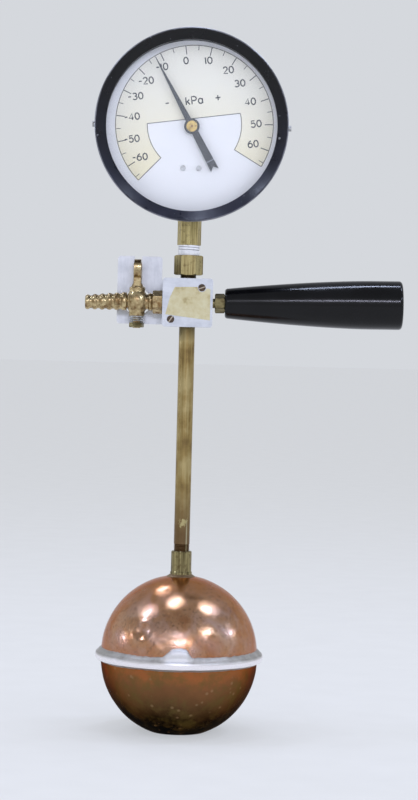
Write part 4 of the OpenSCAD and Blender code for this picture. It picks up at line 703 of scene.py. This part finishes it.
def torn_tape():
    """The tape's mesh: torn edges with holes round the screws, a few wrinkles, even thickness."""
    low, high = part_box("tape_label")
    block_low, block_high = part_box("manifold_block")
    middle = (block_low + block_high) / 2
    corners = [(-8.5, 9.9), (7.1, 10.3), (14.6, 9.0), (14.8, -11.2), (-14.3, -7.9), (-11.6, 3.1)]
    loop = []
    for (x0, z0), (x1, z1) in zip(corners, corners[1:] + corners[:1]):
        count = int(math.hypot(x1 - x0, z1 - z0) / 0.35)
        for i in range(count):
            x, z = x0 + (x1 - x0) * i / count, z0 + (z1 - z0) * i / count
            tear = 0.3 * noise.noise(Vector((x * 0.8, z * 0.8, 1))) + 0.18 * noise.noise(Vector((x * 3, z * 3, 7)))
            loop.append(Vector((x * (1 - 0.03 * abs(tear)) - 0.3 * tear, z * (1 - 0.03 * abs(tear)) - 0.3 * tear)))
    holes = [(9.1, 9.8), (-10.7, -11.0)]
    points = list(loop)
    for i in range(-44, 45):
        for k in range(-34, 32):
            points.append(Vector((i * 0.35 + 0.1 * (k % 2), k * 0.35)))
    edges = [(i, (i + 1) % len(loop)) for i in range(len(loop))]
    found = geometry.delaunay_2d_cdt(points, edges, [list(range(len(loop)))], 1, 1e-4)
    mesh = bpy.data.meshes.new("torn_tape_label")
    places = []
    for point in found[0]:
        wrinkle = 0.5 + 0.5 * noise.noise(Vector((point.x * 0.35 + point.y * 0.2, point.y * 0.05, 3)))
        fold = max(0, noise.noise(Vector((point.x * 0.5, point.y * 1.1, 9)))) ** 2
        lift = 0.03 + 0.1 * wrinkle + 0.25 * fold
        places.append(Vector((middle.x + point.x * mm, high.y - (0.02 + lift) * mm, middle.z + point.y * mm)))
    kept = []
    for face in found[2]:
        centre = sum((found[0][i] for i in face), Vector((0, 0))) / len(face)
        if all((centre - Vector(hole)).length > 2.75 for hole in holes):
            kept.append(tuple(face))
    mesh.from_pydata(places, [], kept)
    form = bmesh.new()
    form.from_mesh(mesh)
    loose = [v for v in form.verts if not v.link_faces]
    bmesh.ops.delete(form, geom=loose, context="VERTS")
    sheet = bmesh.ops.extrude_face_region(form, geom=list(form.faces))
    for item in sheet["geom"]:
        if isinstance(item, bmesh.types.BMVert):
            item.co.y = high.y - 0.01 * mm
    bmesh.ops.recalc_face_normals(form, faces=form.faces)
    form.to_mesh(mesh)
    form.free()
    mesh.materials.append(crepe_tape())
    obj = bpy.data.objects.new("torn_tape_label", mesh)
    bpy.context.scene.collection.objects.link(obj)
    return obj


tape = torn_tape()
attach(tape, "root")
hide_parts("tape_label")


# Handle.
# Moulded black phenolic, still glossy, with hairline scratches.
def black_phenolic():
    """Moulded phenolic: black and glossy, with faint scratches in its skin."""
    material, tree, place, output = new_material("moulded black phenolic")
    haze = add(tree, "ShaderNodeTexNoise", {"Scale": 60.0, "Detail": 5.0}, {"Vector": place})
    shine = add(tree, "ShaderNodeMapRange", {"From Min": 0.35, "From Max": 0.7, "To Min": 0.12, "To Max": 0.2},
        {"Value": haze.outputs["Fac"]})
    tone = add(tree, "ShaderNodeValToRGB", {"stops": [(0.3, linear("#050506")), (0.7, linear("#0a0a0c"))]},
        {"Fac": haze.outputs["Fac"]})
    shader = add(tree, "ShaderNodeBsdfPrincipled", {"IOR": 1.5, "Specular IOR Level": 0.25}, {"Base Color": tone.outputs["Color"],
        "Roughness": shine.outputs[0]})
    tree.links.new(shader.outputs[0], output.inputs[0])
    return material


dress(["handle_grip"], black_phenolic())


# Thread tape.
# White sealing tape wound on the gauge's thread, its turns a little apart, with painted shade between them.
tape_low, tape_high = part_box("thread_tape")
tape_out = tape_high.x


def thread_tape_white():
    """Sealing tape: soft white, with painted shade in the grooves between its turns."""
    material, tree, place, output = new_material("white sealing tape")
    clouds = add(tree, "ShaderNodeTexNoise", {"Scale": 300.0, "Detail": 4.0}, {"Vector": place})
    tone = add(tree, "ShaderNodeValToRGB", {"stops": [(0.3, linear("#d2d3d6")), (0.6, linear("#ececee"))]},
        {"Fac": clouds.outputs["Fac"]})
    level = add(tree, "ShaderNodeVectorMath", {"operation": "MULTIPLY", 1: (1.0, 1.0, 0.0)}, {0: place})
    radius = add(tree, "ShaderNodeVectorMath", {"operation": "LENGTH"}, {0: level.outputs[0]})
    # Painted shade: the tape is painted dark grey in the grooves between its turns.
    groove = add(tree, "ShaderNodeMapRange", {"From Min": tape_out - 0.3 * mm, "From Max": tape_out - 0.12 * mm,
        "To Min": 0.9, "To Max": 0.0}, {"Value": radius.outputs["Value"]})
    with_painted_light = add(tree, "ShaderNodeMix", {"data_type": "RGBA", 7: linear("#4a4a50")},
        {0: groove.outputs[0], 6: tone.outputs["Color"]})
    shader = add(tree, "ShaderNodeBsdfPrincipled", {"Roughness": 0.5}, {"Base Color": with_painted_light.outputs[2]})
    tree.links.new(shader.outputs[0], output.inputs[0])
    return material


def wound_rows(turn):
    """One profile of the wound tape: its turns drop round the thread like a screw."""
    out = Vector((math.sin(turn), -math.cos(turn), 0))
    inner = tape_out - 0.42 * mm
    steps = 44
    ring = [out * inner + Vector((0, 0, tape_low.z)), out * inner + Vector((0, 0, tape_high.z))]
    for i in range(steps, -1, -1):
        z = tape_low.z + (tape_high.z - tape_low.z) * i / steps
        from_top = (tape_high.z - z) / mm
        lead = (turn / (2 * math.pi) + 0.5) % 1 - 0.5
        depth = 0.0
        for groove in (-0.31, 1.35, 3.0, 4.65):
            off = abs(from_top - groove - 1.65 * lead)
            if groove + 1.65 * lead < 4.3:
                depth = max(depth, 0.3 * max(0, 1 - (off / 0.24) ** 2))
        pucker = 0.05 * noise.noise(out * 3 + Vector((0, 0, from_top * 1.3)))
        ring.append(out * (tape_out - (0.06 + depth - pucker) * mm) + Vector((0, 0, z)))
    return ring


wound_tape = revolved("wound_thread_tape", wound_rows, thread_tape_white(), 120)
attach(wound_tape, "root")
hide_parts("thread_tape")


# Gauge case, bezel and window.
# A drawn steel case and a turned bezel in baked black enamel, worn bright at the front lip, with a
# flat glass on a rubber gasket.
def black_enamel():
    """Baked enamel: near black, softly glossy, chipped, worn to metal along its front outer lip."""
    material, tree, place, output = new_material("baked black enamel")
    clouds = add(tree, "ShaderNodeTexNoise", {"Scale": 90.0, "Detail": 6.0}, {"Vector": place})
    centre = Vector(next(j["pos_m"] for j in frame["joints"] if j["name"] == "pointer_turn"))
    lip_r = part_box("bezel_ring")[1].z - centre.z
    flat = add(tree, "ShaderNodeMapping", {"Location": (-centre.x, 0, -centre.z), "Scale": (1, 0, 1)},
        {"Vector": place})
    radius = add(tree, "ShaderNodeVectorMath", {"operation": "LENGTH"}, {0: flat.outputs[0]})
    ragged = add(tree, "ShaderNodeMath", {"operation": "MULTIPLY_ADD", 1: 0.0012},
        {0: clouds.outputs["Fac"], 2: radius.outputs["Value"]})
    lip = add(tree, "ShaderNodeMapRange", {"From Min": lip_r - 0.2 * mm, "From Max": lip_r + 0.25 * mm,
        "To Max": 0.45},
        {"Value": ragged.outputs[0]})
    depth = add(tree, "ShaderNodeSeparateXYZ", None, {0: place})
    front = add(tree, "ShaderNodeMath", {"operation": "LESS_THAN", 1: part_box("bezel_ring")[0].y + 1.2 * mm},
        {0: depth.outputs["Y"]})
    worn = add(tree, "ShaderNodeMath", {"operation": "MULTIPLY"}, {0: lip.outputs[0], 1: front.outputs[0]})
    chips = add(tree, "ShaderNodeTexNoise", {"Scale": 260.0, "Detail": 3.0}, {"Vector": place})
    chip_mask = add(tree, "ShaderNodeMapRange", {"From Min": 0.7, "From Max": 0.74, "To Max": 0.6},
        {"Value": chips.outputs["Fac"]})
    nick_place = add(tree, "ShaderNodeMapping", {"Location": (-centre.x - 56.4 * mm, 0,
        -centre.z + 7.2 * mm), "Scale": (1, 0, 1)}, {"Vector": place})
    nick_far = add(tree, "ShaderNodeVectorMath", {"operation": "LENGTH"}, {0: nick_place.outputs[0]})
    nick = add(tree, "ShaderNodeMath", {"operation": "LESS_THAN", 1: 0.7 * mm}, {0: nick_far.outputs["Value"]})
    chipped = add(tree, "ShaderNodeMath", {"operation": "MAXIMUM"}, {0: nick.outputs[0],
        1: chip_mask.outputs[0]})
    bare = add(tree, "ShaderNodeMath", {"operation": "MAXIMUM"}, {0: worn.outputs[0], 1: chipped.outputs[0]})
    # Painted sheen: the enamel is painted lighter and bluer towards the bottom of the ring, broken up by clouds.
    lower_sheen = add(tree, "ShaderNodeMapRange", {"From Min": centre.z + 30 * mm, "From Max": centre.z - 50 * mm},
        {"Value": depth.outputs["Z"]})
    dulled = add(tree, "ShaderNodeMath", {"operation": "MULTIPLY"}, {0: lower_sheen.outputs[0],
        1: clouds.outputs["Fac"]})
    with_painted_light = add(tree, "ShaderNodeMix", {"data_type": "RGBA", 6: linear("#09090c"), 7: linear("#2e3042")},
        {0: dulled.outputs[0]})
    tone = add(tree, "ShaderNodeMix", {"data_type": "RGBA", 7: linear("#a5a8b0")},
        {0: bare.outputs[0], 6: with_painted_light.outputs[2]})
    shine = add(tree, "ShaderNodeMapRange", {"From Min": 0.3, "From Max": 0.7, "To Min": 0.24, "To Max": 0.38},
        {"Value": clouds.outputs["Fac"]})
    shader = add(tree, "ShaderNodeBsdfPrincipled", {"Specular IOR Level": 0.3}, {
        "Base Color": tone.outputs[2], "Roughness": shine.outputs[0], "Metallic": bare.outputs[0]})
    tree.links.new(shader.outputs[0], output.inputs[0])
    return material


dress(["gauge_case", "bezel_ring"], black_enamel())


def window_glass():
    """Clear flat glass, seen only by its faint gloss."""
    material, tree, place, output = new_material("clear flat glass")
    shader = add(tree, "ShaderNodeBsdfPrincipled", {"Base Color": linear("#eef4f8"), "Roughness": 0.03,
        "IOR": 1.5, "Alpha": 0.07})
    tree.links.new(shader.outputs[0], output.inputs[0])
    material.surface_render_method = "BLENDED"
    return material


def matt_rubber():
    """Black rubber, matt with a powdery bloom."""
    material, tree, place, output = new_material("black rubber")
    bloom = add(tree, "ShaderNodeTexNoise", {"Scale": 300.0, "Detail": 4.0}, {"Vector": place})
    tone = add(tree, "ShaderNodeValToRGB", {"stops": [(0.3, linear("#18181a")), (0.7, linear("#26262a"))]},
        {"Fac": bloom.outputs["Fac"]})
    shader = add(tree, "ShaderNodeBsdfPrincipled", {"Roughness": 0.8}, {"Base Color": tone.outputs["Color"]})
    tree.links.new(shader.outputs[0], output.inputs[0])
    return material


dress(["window"], window_glass())
dress(["window_gasket"], matt_rubber())


# Dial, scale card and pointer.
# A white painted dial with a cream paper card glued on it, lettered by hand with a lettering guide,
# and a slate-grey pointer on a brass hub.
gauge = Vector(next(j["pos_m"] for j in frame["joints"] if j["name"] == "pointer_turn"))
card_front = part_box("scale_card")[0].y
card_centre = gauge + Vector((1.6 * mm, 0, 1.5 * mm))
card_turn = math.radians(7.7)
card_r = 50.9 * mm


def dial_paint():
    """Baked white dial paint, faintly blue."""
    material, tree, place, output = new_material("white dial paint")
    clouds = add(tree, "ShaderNodeTexNoise", {"Scale": 50.0, "Detail": 5.0}, {"Vector": place})
    tone = add(tree, "ShaderNodeValToRGB", {"stops": [(0.3, linear("#eff0f2")), (0.7, linear("#f4f4f6"))]},
        {"Fac": clouds.outputs["Fac"]})
    shader = add(tree, "ShaderNodeBsdfPrincipled", {"Roughness": 0.45}, {"Base Color": tone.outputs["Color"]})
    tree.links.new(shader.outputs[0], output.inputs[0])
    return material


def cream_paper():
    """Drawing paper, cream, yellowed towards its two ends."""
    material, tree, place, output = new_material("cream drawing paper")
    height = add(tree, "ShaderNodeSeparateXYZ", None, {0: place})
    clouds = add(tree, "ShaderNodeTexNoise", {"Scale": 60.0, "Detail": 6.0}, {"Vector": place})
    level = add(tree, "ShaderNodeMath", {"operation": "MULTIPLY_ADD", 1: 0.03},
        {0: clouds.outputs["Fac"], 2: height.outputs["Z"]})
    age = add(tree, "ShaderNodeMapRange", {"From Min": gauge.z - 0.035, "From Max": gauge.z + 0.045},
        {"Value": level.outputs[0]})
    tone = add(tree, "ShaderNodeValToRGB", {"stops": [(0.0, linear("#f4e9bd")), (0.45, linear("#f3ecd2")),
        (1.0, linear("#f1eee1"))]}, {"Fac": age.outputs[0]})
    fibre = add(tree, "ShaderNodeTexNoise", {"Scale": 1500.0, "Detail": 3.0}, {"Vector": place})
    uneven = add(tree, "ShaderNodeBump", {"Strength": 0.1, "Distance": 0.0001},
        {"Height": fibre.outputs["Fac"]})
    shader = add(tree, "ShaderNodeBsdfPrincipled", {"Roughness": 0.8}, {"Base Color": tone.outputs["Color"],
        "Normal": uneven.outputs[0]})
    tree.links.new(shader.outputs[0], output.inputs[0])
    return material


def slate_paint():
    """Slate-grey pointer paint with one scribed line across the tail."""
    material, tree, place, output = new_material("slate pointer paint")
    clouds = add(tree, "ShaderNodeTexNoise", {"Scale": 300.0, "Detail": 4.0}, {"Vector": place})
    tone = add(tree, "ShaderNodeValToRGB", {"stops": [(0.3, linear("#191b20")), (0.7, linear("#25282e"))]},
        {"Fac": clouds.outputs["Fac"]})
    lean = math.radians(27.5)
    tail_place = add(tree, "ShaderNodeVectorMath", {"operation": "SUBTRACT", 1: gauge}, {0: place})
    along = add(tree, "ShaderNodeVectorMath", {"operation": "DOT_PRODUCT",
        1: (math.sin(lean), 0, -math.cos(lean))}, {0: tail_place.outputs[0]})
    scribed = add(tree, "ShaderNodeMath", {"operation": "COMPARE", 1: 25.2 * mm, 2: 0.28 * mm},
        {0: along.outputs["Value"]})
    marked = add(tree, "ShaderNodeMix", {"data_type": "RGBA", 7: linear("#8d9098")},
        {0: scribed.outputs[0], 6: tone.outputs["Color"]})
    shader = add(tree, "ShaderNodeBsdfPrincipled", {"Roughness": 0.45, "Specular IOR Level": 0.35},
        {"Base Color": marked.outputs[2]})
    tree.links.new(shader.outputs[0], output.inputs[0])
    return material


def drawing_ink():
    """Drawing ink, gone a little grey."""
    material, tree, place, output = new_material("drawing ink")
    clouds = add(tree, "ShaderNodeTexNoise", {"Scale": 400.0, "Detail": 3.0}, {"Vector": place})
    tone = add(tree, "ShaderNodeValToRGB", {"stops": [(0.3, linear("#121216")), (0.7, linear("#1e1e24"))]},
        {"Fac": clouds.outputs["Fac"]})
    shader = add(tree, "ShaderNodeBsdfPrincipled", {"Roughness": 0.6}, {"Base Color": tone.outputs["Color"]})
    tree.links.new(shader.outputs[0], output.inputs[0])
    return material


dress(["dial_plate"], dial_paint())
dress(["scale_card"], cream_paper())
dress(["pointer"], slate_paint())
ink = drawing_ink()
card_to_world = (Matrix.Translation((card_centre.x, card_front, card_centre.z))
    @ Matrix.Rotation(-card_turn, 4, "Y") @ Matrix.Rotation(math.pi / 2, 4, "X"))


def tick_tree():
    """Strokes set round an arc: count, angle between them, outer radius, length, width, height."""
    tree = bpy.data.node_groups.new("scale strokes", "GeometryNodeTree")
    sockets = {}
    for name, kind in (("Count", "NodeSocketInt"), ("Step", "NodeSocketFloat"), ("Radius", "NodeSocketFloat"),
            ("Length", "NodeSocketFloat"), ("Width", "NodeSocketFloat"), ("Height", "NodeSocketFloat"),
            ("Ink", "NodeSocketMaterial")):
        sockets[name] = tree.interface.new_socket(name, in_out="INPUT", socket_type=kind).identifier
    tree.interface.new_socket("Geometry", in_out="OUTPUT", socket_type="NodeSocketGeometry")
    given = add(tree, "NodeGroupInput").outputs
    along = add(tree, "GeometryNodeMeshLine", None, {"Count": given["Count"]})
    index = add(tree, "GeometryNodeInputIndex")
    last = add(tree, "ShaderNodeMath", {"operation": "SUBTRACT", 1: 1.0}, {0: given["Count"]})
    middle = add(tree, "ShaderNodeMath", {"operation": "DIVIDE", 1: 2.0}, {0: last.outputs[0]})
    from_middle = add(tree, "ShaderNodeMath", {"operation": "SUBTRACT"},
        {0: middle.outputs[0], 1: index.outputs[0]})
    angle = add(tree, "ShaderNodeMath", {"operation": "MULTIPLY"}, {0: from_middle.outputs[0], 1: given["Step"]})
    half = add(tree, "ShaderNodeMath", {"operation": "DIVIDE", 1: 2.0}, {0: given["Length"]})
    radius = add(tree, "ShaderNodeMath", {"operation": "SUBTRACT"}, {0: given["Radius"], 1: half.outputs[0]})
    spot = add(tree, "ShaderNodeCombineXYZ", None, {"Y": radius.outputs[0]})
    turn = add(tree, "ShaderNodeCombineXYZ", None, {"Z": angle.outputs[0]})
    swung = add(tree, "ShaderNodeVectorRotate", {"rotation_type": "Z_AXIS"},
        {"Vector": spot.outputs[0], "Angle": angle.outputs[0]})
    placed = add(tree, "GeometryNodeSetPosition", None, {"Geometry": along.outputs[0],
        "Position": swung.outputs[0]})
    size = add(tree, "ShaderNodeCombineXYZ", None, {"X": given["Width"], "Y": given["Length"],
        "Z": given["Height"]})
    stroke = add(tree, "GeometryNodeMeshCube", None, {"Size": size.outputs[0]})
    rotation = add(tree, "FunctionNodeEulerToRotation", None, {0: turn.outputs[0]})
    copies = add(tree, "GeometryNodeInstanceOnPoints", None, {"Points": placed.outputs[0],
        "Instance": stroke.outputs[0], "Rotation": rotation.outputs[0]})
    real = add(tree, "GeometryNodeRealizeInstances", None, {0: copies.outputs[0]})
    inked = add(tree, "GeometryNodeSetMaterial", None, {"Geometry": real.outputs[0], "Material": given["Ink"]})
    add(tree, "NodeGroupOutput", None, {0: inked.outputs[0]})
    return tree, sockets


stroke_tree, stroke_inputs = tick_tree()


def strokes(name, count, step_degrees, radius, length, width):
    """A ring of strokes on the card, as a plain mesh in place."""
    obj = bpy.data.objects.new(name, bpy.data.meshes.new(name))
    bpy.context.scene.collection.objects.link(obj)
    modifier = obj.modifiers.new("strokes", "NODES")
    modifier.node_group = stroke_tree
    for key, value in (("Count", count), ("Step", math.radians(step_degrees)), ("Radius", radius),
            ("Length", length), ("Width", width), ("Height", 0.06 * mm), ("Ink", ink)):
        modifier[stroke_inputs[key]] = value
    shown = obj.evaluated_get(bpy.context.evaluated_depsgraph_get())
    mesh = bpy.data.meshes.new_from_object(shown)
    mesh.transform(card_to_world)
    obj.modifiers.clear()
    obj.data = mesh
    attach(obj, "root")
    return obj


ten = 19.3
strokes("scale_tens", 13, ten, card_r - 0.2 * mm, 5.3 * mm, 0.58 * mm)
strokes("scale_fives", 14, ten, card_r - 0.2 * mm, 2.9 * mm, 0.42 * mm)


def arc(x, y, rx, ry, start, end, steps=14):
    """Points on an ellipse, anticlockwise in degrees from the right."""
    return [(x + rx * math.cos(math.radians(start + (end - start) * i / steps)),
        y + ry * math.sin(math.radians(start + (end - start) * i / steps))) for i in range(steps + 1)]


# Lettering-guide letters, on a body 6 high: each is its width and its pen strokes
letters = {
    "0": (4, [arc(2, 3, 2, 3, 90, 450, 24)]),
    "1": (1, [[(0.5, 0), (0.5, 6)]]),
    "2": (4, [arc(2, 4.3, 1.8, 1.7, 165, -25) + [(0.2, 0), (4, 0)]]),
    "3": (4, [arc(1.9, 4.5, 1.7, 1.5, 150, -90), arc(1.9, 1.6, 2, 1.6, 90, -150)]),
    "4": (4.2, [[(3, 0), (3, 6), (0, 1.7), (4.2, 1.7)]]),
    "5": (4, [[(3.6, 6), (0.7, 6), (0.4, 3.3)] + arc(1.9, 2, 2, 2, 130, -150)]),
    "6": (4, [arc(2, 1.9, 1.9, 1.9, 0, 360, 20), arc(3.6, 1.9, 3.5, 4.1, 180, 98, 10)]),
    "-": (2.6, [[(0, 3), (2.6, 3)]]),
    "P": (3.8, [[(0.2, 0), (0.2, 6), (2.2, 6)] + arc(2.2, 4.4, 1.6, 1.6, 90, -90) + [(0.2, 2.8)]]),
    "+": (4, [[(0, 3), (4, 3)], [(2, 1), (2, 5)]]),
    "k": (3.1, [[(0.2, 0), (0.2, 6)], [(2.9, 4), (0.2, 1.6)], [(1.2, 2.5), (3.1, 0)]]),
    "a": (3.4, [arc(1.7, 2, 1.6, 2, 0, 360, 18), [(3.3, 4), (3.3, 0)]]),
}


def drawn(name, lines, pen):
    """Pen lines in the card's frame, in millimetres, as a plain mesh in place."""
    curve = bpy.data.curves.new(name, "CURVE")
    curve.dimensions = "3D"
    curve.bevel_depth = pen / 2 * mm
    curve.bevel_resolution = 1
    curve.use_fill_caps = True
    for points in lines:
        spline = curve.splines.new("POLY")
        spline.points.add(len(points) - 1)
        for point, (x, y) in zip(spline.points, points):
            point.co = (x * mm, y * mm, 0, 1)
    obj = bpy.data.objects.new(name, curve)
    bpy.context.scene.collection.objects.link(obj)
    shown = obj.evaluated_get(bpy.context.evaluated_depsgraph_get())
    mesh = bpy.data.meshes.new_from_object(shown)
    bpy.data.objects.remove(obj)
    mesh.transform(card_to_world @ Matrix.Diagonal((1, 1, 0.06 / pen, 1)))
    mesh.materials.clear()
    mesh.materials.append(ink)
    piece = bpy.data.objects.new(name, mesh)
    bpy.context.scene.collection.objects.link(piece)
    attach(piece, "root")


def lettered(name, text, x, y, height, pen):
    """A number or unit centred at a place on the card, in millimetres."""
    scale = height / 6
    gap = 1.5
    left = -(sum(letters[c][0] for c in text) + gap * (len(text) - 1)) / 2
    lines = []
    for c in text:
        for points in letters[c][1]:
            lines.append([(x + (left + px) * scale, y + (py - 3) * scale) for px, py in points])
        left += letters[c][0] + gap
    drawn(name, lines, pen)


number_r = 41
# Set by hand, so each number stands a little off its place
nudges = {0: (-0.9, 0.5), 10: (0, 1.3), 20: (0, 0.5), 30: (-2.7, 1.4), 40: (-2.5, 1.6), 50: (-1.1, 0.7),
    60: (-0.6, 1.2), -10: (-3.2, 0.5), -20: (-2.4, -0.6), -30: (-1.1, 0.4), -40: (0.4, 0.3),
    -50: (-0.5, -0.2), -60: (-0.4, 0.8)}
for value in range(-60, 61, 10):
    turn = math.radians(value / 10 * ten)
    lettered("scale_number_%d" % value, str(value), number_r * math.sin(turn) + nudges[value][0],
        number_r * math.cos(turn) + nudges[value][1], 4.15, 0.82)
lettered("scale_unit", "kPa", 1.5, 15.5, 4.9, 0.82)
lettered("scale_minus", "-", -16, 15.5, 4.9, 0.82)
lettered("scale_plus", "+", 17, 15.5, 4.9, 0.82)
card_end = 38.5
window_r, chord = 30.5, 3.9
chord_end = math.degrees(math.asin(chord / window_r))
drawn("card_outline", [arc(0, 0, 51.0, 51.0, -card_end, 180 + card_end, 160),
    arc(0, 0, window_r, window_r, chord_end, -card_end, 30),
    arc(0, 0, window_r, window_r, 180 - chord_end, 180 + card_end, 30),
    [(-window_r * math.cos(math.radians(chord_end)), chord), (window_r * math.cos(math.radians(chord_end)), chord)],
    *[[(side * r * math.cos(math.radians(card_end)), -r * math.sin(math.radians(card_end)))
        for r in (window_r, 51.0)] for side in (-1, 1)]], 0.42)
